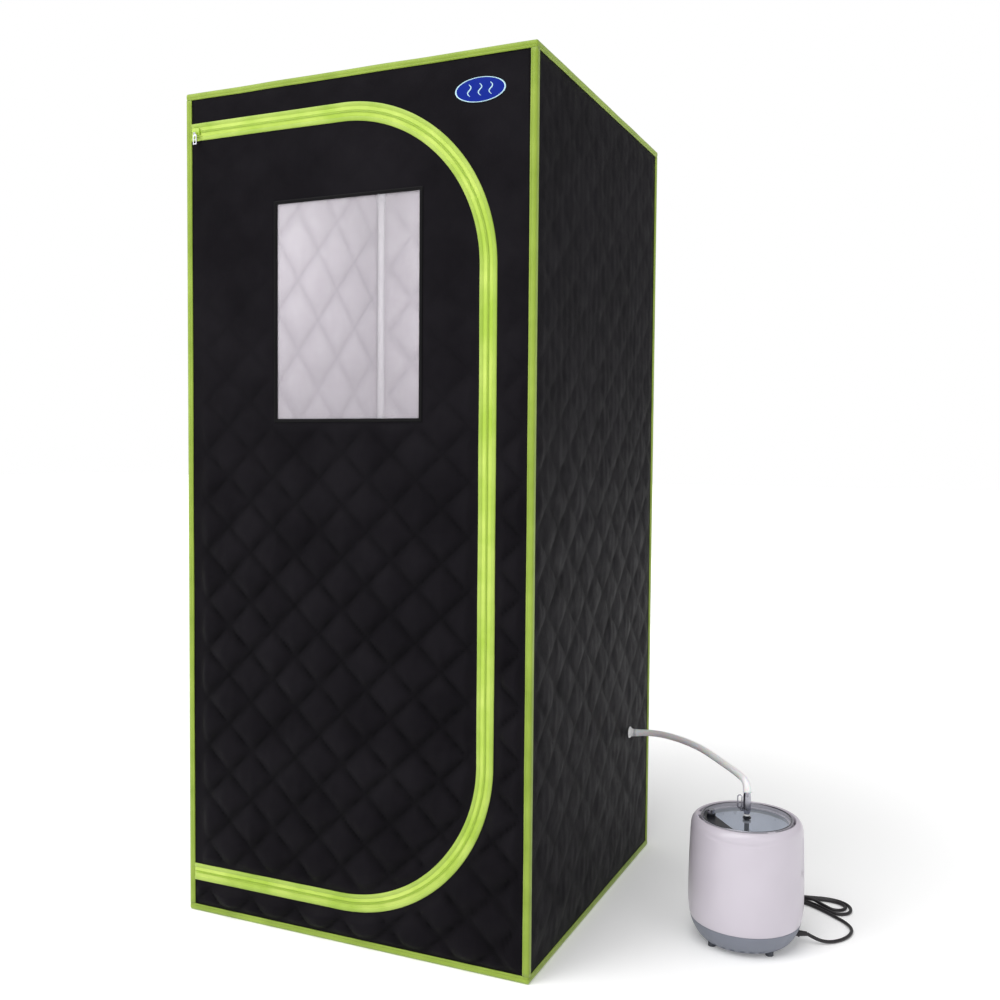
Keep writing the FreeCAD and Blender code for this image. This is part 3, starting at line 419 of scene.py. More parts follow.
def lathe(name, profile, material, centre=POT, segments=128, change=None, axis="z"):
    """A closed (radius, height) profile turned about an axis; change(angle, radius, height) reshapes it."""
    profile = np.asarray(profile, float)
    angle = np.linspace(0, math.tau, segments, endpoint=False)[:, None]
    radius = np.broadcast_to(profile[None, :, 0], (segments, len(profile)))
    height = np.broadcast_to(profile[None, :, 1], (segments, len(profile)))
    if change:
        radius, height = change(angle, radius, height)
    round_about = [radius * np.cos(angle), radius * np.sin(angle), height + 0 * angle]
    if axis == "x":
        round_about = [round_about[2], round_about[0], round_about[1]]
    points = np.stack(round_about, -1) + np.array(centre)
    faces = strip_faces(segments, len(profile), True, True)
    return mesh_object(name, points.reshape(-1, 3), faces, [material])


def smooth_tube(name, centres, radii, material, sides):
    """A round tube along points, with a radius at each of them and closed ends."""
    centres = np.asarray(centres, float)
    ahead = np.gradient(centres, axis=0)
    ahead /= np.linalg.norm(ahead, axis=1)[:, None]
    side = np.cross(ahead[0], (0.3, 0.2, 1))
    sections = []
    for spot, forward, radius in zip(centres, ahead, np.broadcast_to(radii, len(centres))):
        side = side - forward * side.dot(forward)
        side /= np.linalg.norm(side)
        other = np.cross(forward, side)
        turn = np.linspace(0, math.tau, sides, endpoint=False)
        sections.append(spot + radius * (np.cos(turn)[:, None] * side + np.sin(turn)[:, None] * other))
    return swept_band(name, np.array(sections), [material])


# ---- camera, floor and light ----

CAMERA_PLACE = (1.1426, -2.2261, 1.0045)
CAMERA_TURNS = (23.915, 2.629, 0.483)               # degrees to the left, down and of roll
CAMERA_LENS, SENSOR_WIDTH, FAR_CLIP = 38.54, 36, 60
FLOOR_REACH, FLOOR_LEVEL = 30, -0.0005
WORLD_LIGHT, BACKDROP = 0.42, 1.0                   # the surroundings' light, and how the camera sees them


def make_camera():
    yaw, pitch, roll = (math.radians(degrees) for degrees in CAMERA_TURNS)
    forward = Vector((-math.sin(yaw) * math.cos(pitch), math.cos(yaw) * math.cos(pitch), -math.sin(pitch)))
    right = Vector((math.cos(yaw), math.sin(yaw), 0))
    up = right.cross(forward)
    across = right * math.cos(roll) + up * math.sin(roll)
    above = up * math.cos(roll) - right * math.sin(roll)
    camera = bpy.data.objects.new("camera", bpy.data.cameras.new("camera"))
    camera.data.lens, camera.data.sensor_width, camera.data.clip_end = CAMERA_LENS, SENSOR_WIDTH, FAR_CLIP
    turn = Matrix((across, above, -forward)).transposed().to_4x4()
    camera.matrix_world = Matrix.Translation(CAMERA_PLACE) @ turn
    bpy.context.scene.collection.objects.link(camera)
    bpy.context.scene.camera = camera


def add_light(name, kind, place, target, power, **settings):
    light = bpy.data.lights.new(name, kind)
    light.energy = power
    for setting, value in settings.items():
        setattr(light, setting, value)
    lamp = bpy.data.objects.new(name, light)
    lamp.location = place
    lamp.rotation_euler = (Vector(target) - Vector(place)).to_track_quat("-Z", "Y").to_euler()
    bpy.context.scene.collection.objects.link(lamp)


def studio_floor():
    """A white floor that glows a little more further from the object."""
    finish = Shader("studio_floor", (0.93, 0.93, 0.93, 1), roughness=0.9, specular_ior_level=0.1)
    finish.bump(finish.noise(3, 2), 0.002, 0.1)
    finish.surface.inputs["Emission Color"].default_value = (1, 1, 1, 1)
    away = finish.add("ShaderNodeVectorMath", operation="LENGTH")
    finish.feed(away.inputs[0], finish.place)
    glow = finish.spread(away.outputs["Value"], 1.2, 4.0, 0.15, 0.36)
    finish.feed(finish.surface.inputs["Emission Strength"], glow)
    signs = ((-1, -1), (1, -1), (1, 1), (-1, 1))
    corners = [(FLOOR_REACH * sx, FLOOR_REACH * sy, FLOOR_LEVEL) for sx, sy in signs]
    mesh_object("studio_floor", corners, [(0, 1, 2, 3)], [finish.material])


def make_studio():
    studio_floor()
    world = bpy.data.worlds.new("studio")
    world.use_nodes = True
    nodes, links = world.node_tree.nodes, world.node_tree.links
    nodes["Background"].inputs["Color"].default_value = (1, 1, 1, 1)
    path = nodes.new("ShaderNodeLightPath")
    level = nodes.new("ShaderNodeMapRange")
    level.inputs["To Min"].default_value, level.inputs["To Max"].default_value = WORLD_LIGHT, BACKDROP
    links.new(path.outputs["Is Camera Ray"], level.inputs["Value"])
    links.new(level.outputs[0], nodes["Background"].inputs["Strength"])
    bpy.context.scene.world = world
    bpy.context.scene.view_settings.view_transform = "Standard"
    add_light("overhead", "SUN", (0, 0, 0), (0.25, 0.45, -1), 2.1, angle=math.radians(50))
    add_light("front_left", "AREA", (-2.6, -4.2, 3.4), (0, -0.4, 0.8), 60, size=2.5)
    add_light("front_right", "AREA", (3.8, -2.6, 2.8), (0.5, 0, 0.7), 22, size=2.2)
    add_light("inside", "AREA", (-0.02, -0.2, 1.60), (0.0, 0.35, 1.0), 3.4, size=0.22)


make_camera()
make_studio()


# ---- steam hose and power cord ----

HOSE_ROUTE = [(0.4105, 0.235, 0.330), (0.454, 0.231, 0.337), (0.520, 0.196, 0.341), (0.594, 0.134, 0.342),
              (0.655, 0.068, 0.335), (0.701, 0.012, 0.332), (0.731, -0.029, 0.3275), (0.731, -0.029, 0.3063)]
HOSE_RADIUS, CORD_RADIUS = 0.0075, 0.0035
CORD_LEVEL = 0.0036                                 # height of the cord's middle where it lies on the floor
# From the pot along the floor, then the folded length: wide lobe, narrow lobe, both again, then the plug.
CORD_ON_FLOOR = [(0.895, 0.017), (0.917, 0.039), (0.930, 0.068), (0.932, 0.099), (0.917, 0.126),
                 (0.892, 0.147), (0.868, 0.166), (0.845, 0.182), (0.820, 0.195), (0.790, 0.1998),
                 (0.755, 0.192), (0.724, 0.182), (0.696, 0.179), (0.672, 0.190), (0.664, 0.211),
                 (0.673, 0.232), (0.697, 0.242), (0.725, 0.240), (0.755, 0.232), (0.790, 0.2247),
                 (0.828, 0.231), (0.864, 0.240), (0.898, 0.234), (0.918, 0.211), (0.919, 0.182),
                 (0.903, 0.165), (0.883, 0.166), (0.864, 0.181), (0.846, 0.194), (0.822, 0.205),
                 (0.790, 0.2081), (0.758, 0.201), (0.728, 0.190), (0.700, 0.1855), (0.6813, 0.1928),
                 (0.674, 0.2105), (0.6813, 0.2282), (0.700, 0.2345), (0.728, 0.232), (0.758, 0.223),
                 (0.790, 0.2164), (0.826, 0.221), (0.858, 0.230), (0.880, 0.2295), (0.899, 0.2215),
                 (0.9085, 0.206), (0.901, 0.188)]
CORD_ROUTE = [(0.8524, 0.0013, 0.020), (0.872, 0.005, 0.0095),
              *((x, y, CORD_LEVEL) for x, y in CORD_ON_FLOOR), (0.882, 0.1805, 0.0042),
              (0.859, 0.195, 0.0062), (0.840, 0.206, 0.0095), (0.816, 0.212, 0.0111),
              (0.790, 0.212, 0.0112), (0.750, 0.2115, 0.0112), (0.710, 0.211, 0.0112),
              (0.680, 0.211, 0.0112), (0.662, 0.211, 0.0105)]


def nurbs_curve(name, route, bevel=0.0):
    data = bpy.data.curves.new(name, "CURVE")
    data.dimensions, data.bevel_depth, data.bevel_resolution, data.use_fill_caps = "3D", bevel, 6, True
    spline = data.splines.new("NURBS")
    spline.points.add(len(route) - 1)
    for point, spot in zip(spline.points, route):
        point.co = (*spot, 1)
    spline.order_u, spline.use_endpoint_u, spline.resolution_u = 3, True, 12
    curve = bpy.data.objects.new(name, data)
    bpy.context.scene.collection.objects.link(curve)
    return curve


def nurbs_line(route):
    """The points that the NURBS spline through a route passes along."""
    curve = nurbs_curve("measure", route)
    mesh = bpy.data.meshes.new_from_object(curve)
    line = [tuple(vertex.co) for vertex in mesh.vertices]
    bpy.data.meshes.remove(mesh)
    bpy.data.objects.remove(curve)
    return line


def steam_hose():
    line = np.array(nurbs_line(HOSE_ROUTE))
    run = np.concatenate([[0], np.cumsum(np.linalg.norm(np.diff(line, axis=0), axis=1))])
    ends = smoothstep(0.020, 0.002, run) * 0.0011 + smoothstep(run[-1] - 0.018, run[-1] - 0.002, run) * 0.0011
    hose = smooth_tube("steam_hose_tube", line, HOSE_RADIUS + ends, hose_rubber, 28)
    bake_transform(hose)
    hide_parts("steam_hose")


def power_cord():
    cord = nurbs_curve("power_cord_line", CORD_ROUTE, CORD_RADIUS)
    cord.data.materials.append(cord_rubber)
    settle(cord, "cabin", "black_rubber", "power_cord", "cord_hank")


# ---- finishing the CAD pieces that stay ----

def finish_node(name, material, bevel=0.0):
    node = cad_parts[name]
    if not node.material_slots:
        node.data.materials.append(material)
    for material_slot in node.material_slots:
        material_slot.material = material
    if bevel:
        edge = node.modifiers.new("soft_edges", "BEVEL")
        edge.width, edge.segments = bevel, 3
        edge.limit_method, edge.angle_limit = "ANGLE", math.radians(40)
        edge.harden_normals = True


def finish_frame():
    """The cabin's tubes and their sockets."""
    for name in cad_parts:
        if "_upright_" in name or name.endswith("_rails"):
            finish_node(name, tube_plastic)
        elif name.endswith("_corner_connectors") or name == "upright_sleeves":
            finish_node(name, socket_plastic, 0.0006)


# ---- quilted cover ----

def puckers(across, up, seed):
    """Fine upright wrinkles gathered by the stitching."""
    return waves(across * 5.0, up * 0.9, 0.11, seed, 4)


def pillows(side, across, up, fade):
    """How far the cover stands out of the panel's face, and the strength of its stitch line and painted crease
    shade.
    """
    shift = {"front": (0.042, 0.630), "right": (0.018, 0.590), "left": (-0.018, 0.590), "rear": (0.03, 0.61)}
    start = shift.get(side, (0.0, 0.0))
    puff, seam = diamonds(across - start[0] + 0.002 * waves(across, up, 0.5, 3),
                          up - start[1] + 0.002 * waves(across, up, 0.6, 4), DIAMOND, 11)
    slack = np.full(up.shape, 0.6) if side in ("roof", "floor") else smoothstep(1.45, 0.60, up)
    depth = 0.0008 + 0.0112 * slack
    wrinkle = 0.00075 * puckers(across, up, 21) * (0.4 + puff) + 0.0012 * waves(across, up, 0.16, 31)
    if side == "right":
        depth = 0.0020 + 0.0020 * smoothstep(1.3, 0.8, up) * smoothstep(0.1, 0.6, up)
        gathers = np.cos(across * math.tau / 0.059 + 0.7 * waves(across, up, 0.4, 9)) ** 2
        wrinkle = wrinkle + 0.0016 * gathers * smoothstep(0.75, 1.35, up)
    droop = 0.0006 * np.sin((up - start[1]) / DIAMOND[1] * math.tau) * slack
    relief = depth * puff + wrinkle * (0.35 + 0.65 * slack) + droop
    # The painted crease shade is strongest low down, where the pillows are deepest.
    return relief * fade, seam * fade * (0.12 + 0.88 * slack)


def lining(side, across, up, fade):
    """How far the lining stands into the cabin: wide diamonds, sewn apart from the cover's; and the strength
    of its stitch line and painted crease shade.
    """
    pitch = (0.175, 0.175) if side in ("left", "right") else (0.145, 0.175)
    puff, seam = diamonds(across, up - 0.02, pitch, 5)
    return (0.0075 * puff + 0.0008 * waves(across * 3, up, 0.15, 41)) * fade, seam * fade


def quilted(name, side, across, up, faces, fade, materials):
    """A panel's closed shell: puffed cover outside, puffed lining inside, flat along its sewn edges."""
    reach = {"roof": TOP - ROOF_SINK, "floor": 0.0}.get(side, FACE)
    thick = FACE - LINING
    # Each side also gets its stitch line and painted crease shade.
    out, seam = pillows(side, across, up, fade)
    lined, lining_stitch_and_shade = lining(side, across, up, fade)
    if side == "floor":
        out = np.zeros(out.shape)
    outer = on_side(side, across, up, reach + out)
    inner = on_side(side, across, up, reach - thick - lined)
    return shell(name, faces, outer, inner, seam, materials, lining_stitch_and_shade)


def plain_panel(node, side, low, high, step, materials, hole=None):
    """A panel with no door in it; a hole is (across, up, radius), and the quilting is flat round it."""
    across, up = np.meshgrid(grid_lines(-EDGE, EDGE, step), grid_lines(low, high, step))
    faces = strip_faces(*across.shape)
    across, up = across.ravel(), up.ravel()
    fade = smoothstep(0.0, 0.028, np.minimum(np.minimum(EDGE - np.abs(across), up - low), high - up))
    if hole:
        apart = np.hypot(across - hole[0], up - hole[1])
        fade = fade * smoothstep(hole[2] * 1.2, hole[2] * 3.2, apart)
    panel = quilted(node + "_quilt", side, across, up, faces, fade, materials)
    settle(panel, "cabin", "quilted_cover", node)


def door_line(step=ZIP_STEP):
    """The zip's middle line, from the top run's left end round to the bottom run's: (x, z, outward x, z)."""
    top_level, low_level = ZIP_TOP - ZIP_BEND, ZIP_LOW + ZIP_BEND
    runs = [(x, ZIP_TOP, 0, 1) for x in grid_lines(-EDGE, BEND_X, step)[:-1]]
    for level, first, last in ((top_level, 90, 0), (low_level, 0, -90)):
        for degrees in np.linspace(first, last, 73):
            turn = math.radians(degrees)
            runs.append((BEND_X + ZIP_BEND * math.cos(turn), level + ZIP_BEND * math.sin(turn),
                         math.cos(turn), math.sin(turn)))
        if first == 90:
            runs += [(ZIP_SIDE, z, 1, 0) for z in grid_lines(low_level, top_level, step)[1:-1][::-1]]
    runs += [(x, ZIP_LOW, 0, -1) for x in grid_lines(-EDGE, BEND_X, step)[:-1][::-1]]
    return np.array(runs)


def front_panel():
    """The front round the door: strips from the door's opening out to the panel's edges."""
    line = door_line()
    start = line[:, :2] + line[:, 2:] * 0.001
    reaches = []
    for x, z, nx, nz in line:
        limits = [((EDGE if nx > 0 else -EDGE) - x) / nx] if abs(nx) > 1e-9 else []
        limits += [((PANEL_TOP if nz > 0 else PANEL_LOW) - z) / nz] if abs(nz) > 1e-9 else []
        reaches.append(min(limits))
    end = line[:, :2] + line[:, 2:] * np.array(reaches)[:, None]
    corner = np.array([(EDGE, PANEL_TOP), (EDGE, PANEL_LOW)])
    for spot in corner:
        end[np.argmin(np.hypot(*(end - spot).T))] = spot
    share = np.linspace(0, 1, 27)[None, :, None]
    spots = start[:, None] + (end - start)[:, None] * share
    across, up = spots[..., 0].ravel(), spots[..., 1].ravel()
    inward = np.hypot(*(spots - start[:, None]).transpose(2, 0, 1)).ravel()
    outward = np.minimum(EDGE - np.abs(across), np.minimum(PANEL_TOP - up, up - PANEL_LOW))
    badge_low, badge_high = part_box("badge")
    beside = np.hypot(np.maximum(np.maximum(badge_low.x - across, across - badge_high.x), 0),
                      np.maximum(np.maximum(badge_low.z - up, up - badge_high.z), 0))
    fade = smoothstep(0.016, 0.040, inward) * smoothstep(0.0, 0.018, outward) * smoothstep(0.0, 0.022, beside)
    panel = quilted("front_panel_quilt", "front", across, up, strip_faces(*spots.shape[:2]), fade,
                    [cover_cloth, lining_cloth])
    settle(panel, "cabin", "quilted_cover", "front_panel")


def door_flap():
    """The zipped flap: columns that follow the door's rounded outline, with the window's opening left out."""
    reach = ZIP_BEND - 0.001
    left = -EDGE - 0.001
    (window_left, window_low), (window_right, window_top) = WINDOW
    turns = grid_lines(0, math.pi / 2, 0.0195, math.asin((window_right - BEND_X) / reach))
    straight = grid_lines(left, BEND_X, 0.006, window_left)[:-1]
    columns = np.concatenate([straight, BEND_X + reach * np.sin(turns)])
    rounded = reach - np.sqrt(np.maximum(reach ** 2 - (columns - BEND_X) ** 2, 0))
    drop = np.where(columns > BEND_X, rounded, 0)
    low, high = ZIP_LOW + 0.001 + drop, ZIP_TOP - 0.001 - drop
    past = smoothstep(window_right, ZIP_SIDE, columns)
    first = window_low * (1 - past) + (low + 0.62 * (high - low)) * past
    second = window_top * (1 - past) + (low + 0.90 * (high - low)) * past
    bands = [(low, first, 155), (first, second, 70), (second, high, 28)]
    levels = [a + (b - a) * share for a, b, count in bands for share in np.linspace(0, 1, count + 1)[:-1]]
    levels = np.array(levels + [high])
    across, up = np.broadcast_to(columns, levels.shape).ravel(), levels.ravel()
    faces = strip_faces(*levels.shape)
    centre_x, centre_z = across[faces].mean(1), up[faces].mean(1)
    opening = ((centre_x > window_left) & (centre_x < window_right) & (centre_z > window_low)
               & (centre_z < window_top))
    edge = np.minimum(np.minimum(across - left, ZIP_SIDE - across), np.minimum(ZIP_TOP - up, up - ZIP_LOW))
    for level, sign in ((ZIP_TOP - ZIP_BEND, 1), (ZIP_LOW + ZIP_BEND, -1)):
        bend = (across > BEND_X) & (sign * (up - level) > 0)
        edge = np.where(bend, ZIP_BEND - np.hypot(across - BEND_X, up - level), edge)
    outside = np.hypot(np.maximum(np.maximum(window_left - across, across - window_right), 0),
                       np.maximum(np.maximum(window_low - up, up - window_top), 0))
    fade = smoothstep(0.016, 0.042, edge) * smoothstep(0.004, 0.030, outside)
    flap = quilted("door_flap_quilt", "front", across, up, faces[~opening], fade, [cover_cloth, lining_cloth])
    settle_on_hinge(flap, "door_flap")


def window():
    (left, low), (right, top) = WINDOW
    lap, step = 0.001, 0.006
    columns, rows = grid_lines(left - lap, right + lap, step), grid_lines(low - lap, top + lap, step)
    across, up = np.meshgrid(columns, rows)
    faces = strip_faces(*across.shape)
    across, up = across.ravel(), up.ravel()
    edge = np.minimum(np.minimum(across - left, right - across), np.minimum(up - low, top - up))
    ripple = 0.0011 * waves(across, up * 0.7, 0.22, 51) * smoothstep(0, 0.05, edge)
    outer = on_side("front", across, up, FACE - 0.0018 + ripple)
    inner = on_side("front", across, up, FACE - 0.0024 + ripple)
    sheet = shell("window_sheet", faces, outer, inner, 0 * across, [clear_sheet])
    settle(sheet, "door", "window_sheet", "door_window")

    corners = [(left, low, -1, -1), (right, low, 1, -1), (right, top, 1, 1), (left, top, -1, 1)]
    section = [(-0.0008, -0.0010), (-0.0010, 0.0012), (0.0006, 0.0018), (0.0020, 0.0012), (0.0028, 0.0017),
               (0.0050, 0.0017), (0.0060, 0.0010), (0.0062, -0.0004)]
    ends = [np.array([(x + sx * out, -(FACE + rise), z + sz * out) for out, rise in section])
            for x, z, sx, sz in corners]
    shares = np.linspace(0, 1, 60)[:-1]
    places = [a + (b - a) * share for a, b in zip(ends, ends[1:] + ends[:1]) for share in shares]
    tape = swept_band("window_binding_tape", np.array(places), [window_tape], closed=True)
    settle(tape, "door", "window_edge", "window_binding")


# ---- edge binding, zip and badge ----

# The folded tape's section: (outwards, below the edge), round the fold.
FOLD = [(-0.0064, 0.0140), (-0.0019, 0.0140), (-0.0007, 0.0131), (-0.0002, 0.0105), (-0.0009, 0.0098),
        (0.0000, 0.0090), (0.0001, 0.0055), (-0.0003, 0.0032), (-0.0012, 0.0012), (-0.0032, 0.0003),
        (-0.0055, 0.0000), (-0.0090, 0.0001), (-0.0098, 0.0009), (-0.0105, 0.0002), (-0.0131, 0.0007),
        (-0.0140, 0.0019), (-0.0140, 0.0064), (-0.0064, 0.0064)]
CORNER_ROUNDING = 0.004


def ring_binding(level_name, at_top):
    """The folded tape round the top or bottom of the cabin, mitred inside its rounded corners."""
    out, below = np.array(FOLD).T
    middle = HALF + np.minimum(out, -CORNER_ROUNDING)
    wide = np.maximum(CORNER_ROUNDING + out, 0)
    height = TOP - below if at_top else np.maximum(below, 0.0)

    def section(quarter, turn):
        """The fold at one of the four corners, facing a direction."""
        diagonal = math.radians(90 * quarter + 45)
        sx, sy = math.copysign(1, math.cos(diagonal)), math.copysign(1, math.sin(diagonal))
        return np.stack([sx * middle + wide * math.cos(turn), sy * middle + wide * math.sin(turn), height], 1)

    places = []
    for quarter in range(4):
        for degrees in np.linspace(-45, 45, 9):
            places.append(section(quarter, math.radians(90 * quarter + 45) + math.radians(degrees)))
        start, end = (section(corner, math.radians(90 * quarter + 90)) for corner in (quarter, quarter + 1))
        places += [start + (end - start) * share for share in np.linspace(0, 1, 110)[1:-1]]
    points = np.array(places)
    if at_top:
        points[..., 2] += 0.0005 * waves(points[..., 0] * 3, points[..., 1] * 3, 0.5, 61)
    ring = swept_band(f"{level_name}_binding_tape", points, [binding_tape], closed=True)
    settle(ring, "cabin", "edge_binding", f"{level_name}_binding")


def corner_bindings():
    """The four uprights; the first of them stands for the CAD node that holds all four."""
    heights = grid_lines(PANEL_LOW, PANEL_TOP, 0.008)
    out, below = np.array(FOLD).T
    tapes = []
    corners = (("front_right", 1, -1), ("front_left", -1, -1), ("rear_right", 1, 1), ("rear_left", -1, 1))
    for name, sx, sy in corners:
        wobble = 0.00045 * waves(heights, 0 * heights + sx + 2 * sy, 0.3, 71)[:, None]
        points = np.zeros((len(heights), len(FOLD), 3))
        for axis, sign, edge in ((0, sx, HALF + out), (1, sy, HALF - below)):
            points[..., axis] = sign * (edge + wobble * (edge < EDGE + 0.002))
        points[..., 2] = heights[:, None]
        tapes.append(swept_band(f"{name}_corner_tape", points, [binding_tape]))
    for tape in tapes[1:]:
        settle(tape, "cabin", "edge_binding")
    settle(tapes[0], "cabin", "edge_binding", "corner_bindings")


def along_door(section, wave_seed):
    """A section of (outwards from the zip, height over the cover) carried along the zip's line."""
    line = door_line()
    outward, height = np.array(section).T
    drift = 0.0006 * waves(np.arange(len(line)) * ZIP_STEP, np.zeros(len(line)), 0.35, wave_seed)[:, None]
    far = smoothstep(0.004, 0.016, np.abs(outward))
    offset = outward + drift * far
    x = line[:, 0:1] + line[:, 2:3] * offset
    z = line[:, 1:2] + line[:, 3:4] * offset
    y = -(FACE + height + 0 * offset)
    return np.stack([x, y, z], -1)


def zip_tapes():
    """The two halves of the zip's tape, each with a sewn edge, a seam groove and a folded outer binding."""
    section = [(0.0003, 0.0000), (0.0003, 0.0011), (0.0024, 0.0012), (0.0028, 0.0017), (0.0034, 0.0012),
               (0.0060, 0.0013), (0.0086, 0.0011), (0.0092, 0.0006), (0.0098, 0.0013), (0.0118, 0.0021),
               (0.0150, 0.0023), (0.0172, 0.0018), (0.0180, 0.0008), (0.0180, 0.0000)]
    index = [0, 0, 0, 0, 0, 0, 0, 0, 1, 1, 1, 1, 1, 0]
    tapes = [lime_tape, lime_edge]
    frame_tape = swept_band("zip_tape_frame_band", along_door(section, 81), tapes, index)
    settle(frame_tape, "cabin", "zip_tape", "zip_tape_frame")
    flipped = [(-out, rise) for out, rise in section]
    door_tape = swept_band("zip_tape_door_band", along_door(flipped, 82), tapes, index)
    settle_on_hinge(door_tape, "zip_tape_door")


def zip_teeth():
    """Two rows of separate teeth that mesh along the zip's line."""
    pitch = 0.0026
    line = door_line(0.002)
    run = np.concatenate([[0], np.cumsum(np.hypot(*np.diff(line[:, :2], axis=0).T))])
    for name, sign, shift in (("frame", 1, 0.0), ("door", -1, 0.5)):
        stations = np.arange(0.004 + shift * pitch, run[-1] - 0.004, pitch)
        centre = np.stack([np.interp(stations, run, line[:, k]) for k in range(4)], 1)
        outward = centre[:, 2:] / np.hypot(centre[:, 2], centre[:, 3])[:, None]
        along = np.stack([-outward[:, 1], outward[:, 0]], 1)
        shape = [(-0.0005, -0.38), (-0.0005, 0.38), (0.0008, 0.30),
                 (0.0022, 0.36), (0.0022, -0.36), (0.0008, -0.30)]
        vertices, faces = [], []
        for height in (0.0011, 0.0024):
            for out, half in shape:
                spot = centre[:, :2] + sign * out * outward + along * (half * pitch * 0.55)
                vertices.append(np.stack([spot[:, 0], np.full(len(spot), -(FACE + height)), spot[:, 1]], 1))
        vertices = np.stack(vertices, 1).reshape(-1, 3)
        sides = [(k, (k + 1) % 6, (k + 1) % 6 + 6, k + 6) for k in range(6)]
        one = sides + [(5, 4, 3, 0), (3, 2, 1, 0), (6, 9, 10, 11), (6, 7, 8, 9)]
        for number in range(len(stations)):
            faces += [[corner + 12 * number for corner in face] for face in one]
        teeth = mesh_object(f"zip_teeth_{name}_row", vertices, faces, [lime_plastic], smooth=False)
        if name == "frame":
            settle(teeth, "cabin", "zip_chain", "zip_teeth_frame")
        else:
            settle_on_hinge(teeth, "zip_teeth_door")


def badge():
    """An oval patch: a blue domed field, a pale sewn rim and three rising wavy lines."""
    low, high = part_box("badge")
    middle, wide, tall = (low + high) / 2, (high.x - low.x) / 2, (high.z - low.z) / 2
    rings = [(0.0, 0.0), (1.0, 0.0), (1.0, 0.0009), (0.993, 0.0015), (0.975, 0.0017), (0.955, 0.0013),
             (0.945, 0.0010), (0.88, 0.0012), (0.7, 0.0014), (0.45, 0.0016), (0.2, 0.0017), (0.0, 0.0017)]
    turn = np.linspace(0, math.tau, 96, endpoint=False)[:, None]
    share, rise = np.array(rings).T
    share = np.maximum(share, 0.0005)
    points = np.stack([middle.x + wide * share * np.cos(turn), -(FACE + rise) + 0 * turn,
                       middle.z + tall * share * np.sin(turn)], -1)
    index = np.tile([0, 1, 1, 1, 1, 1, 0, 0, 0, 0, 0, 0], 96)
    patch = mesh_object("badge_patch", points.reshape(-1, 3), strip_faces(96, len(rings), True, True),
                        [badge_blue, badge_pale], index)
    settle(patch, "cabin", "badge_cloth", "badge")
    steps = np.linspace(-1, 1, 28)
    for number, shift in enumerate((-0.022, 0.0, 0.022)):
        line = np.stack([middle.x + shift + 0.0035 * np.sin(steps * 3.6), np.full(28, -(FACE + 0.0016)),
                         middle.z + 0.0115 * steps], 1)
        thick = 0.0012 * np.sqrt(1.02 - steps ** 2)
        stroke = smooth_tube(f"badge_stroke_{number}", line, thick, badge_pale, 10)
        settle(stroke, "cabin", "badge_cloth")


# ---- steam port and pot ----

def steam_port():
    low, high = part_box("steam_port")
    middle = Vector((FACE, (low.y + high.y) / 2, (low.z + high.z) / 2))
    profile = [(0.0040, -0.0062), (0.0135, -0.0062), (0.0135, -0.0040), (0.0085, -0.0038), (0.0085, 0.0001),
               (0.0135, 0.0001), (0.0137, 0.0016), (0.0128, 0.0025), (0.0108, 0.0040), (0.0094, 0.0066),
               (0.0088, 0.0100), (0.0086, 0.0126), (0.0082, 0.0131), (0.0050, 0.0131), (0.0048, 0.0164),
               (0.0040, 0.0165)]
    port = lathe("steam_port_flare", chaikin(profile), port_plastic, middle, 64, axis="x")
    settle(port, "cabin", "white_plastic", "steam_port", "port_backing_ring")


# The housing's outside from its foot over the rim and down inside it, as (radius, height).
WALL = [(0.1120, 0.0500), (0.1140, 0.0560), (0.1155, 0.0680), (0.1166, 0.0800), (0.1170, 0.0950),
        (0.1169, 0.1150), (0.1166, 0.1400), (0.1161, 0.1650), (0.1153, 0.1900), (0.1145, 0.2120),
        (0.1136, 0.2300), (0.1128, 0.2400), (0.1112, 0.2465), (0.1076, 0.2520), (0.1036, 0.2551),
        (0.1002, 0.2560), (0.0984, 0.2551), (0.0978, 0.2520), (0.0978, 0.2440), (0.0981, 0.2362)]
OUTSIDE = 0.106                                     # the housing's outer face is further out than this
GRIP_DISTANCE, GRIP_RADIUS, GRIP_SPREAD = 0.155, 0.045, 0.29


def hand_grips(angle, radius, height):
    """Hollows for a hand on two sides, and a soft crease under the rim at the front."""
    for middle in (math.pi, 0.0):
        apart = np.mod(angle - middle + math.pi, math.tau) - math.pi
        inside = np.clip(GRIP_RADIUS ** 2 - (GRIP_DISTANCE * np.sin(apart)) ** 2, 0, None)
        scoop = GRIP_DISTANCE * np.cos(apart) - np.sqrt(inside)
        scoop = np.where(np.abs(apart) < GRIP_SPREAD, scoop, 1.0)
        window = smoothstep(0.150, 0.160, height) * smoothstep(0.233, 0.222, height)
        depth = np.clip(radius - scoop, 0, None) * window * (radius > OUTSIDE)
        radius = radius - depth
    apart = np.mod(angle - math.radians(-86) + math.pi, math.tau) - math.pi
    level = 0.2425 - 0.0085 * np.cos(np.clip(apart * 2.0, -math.pi / 2, math.pi / 2))
    near = smoothstep(0.80, 0.55, np.abs(apart)) * (radius > OUTSIDE)
    crease = np.exp(-((height - level) / 0.0022) ** 2) * near
    return radius - 0.0016 * crease, height + 0 * angle


def refine(profile, step, closed=True):
    """More points along a profile, about a step apart and at most twelve to a span."""
    following = profile[1:] + profile[:1] if closed else profile[1:]
    points = []
    for (r0, z0), (r1, z1) in zip(profile, following):
        count = min(max(1, int(math.hypot(r1 - r0, z1 - z0) / step)), 12)
        points += [(r0 + (r1 - r0) * k / count, z0 + (z1 - z0) * k / count) for k in range(count)]
    return points if closed else points + [profile[-1]]


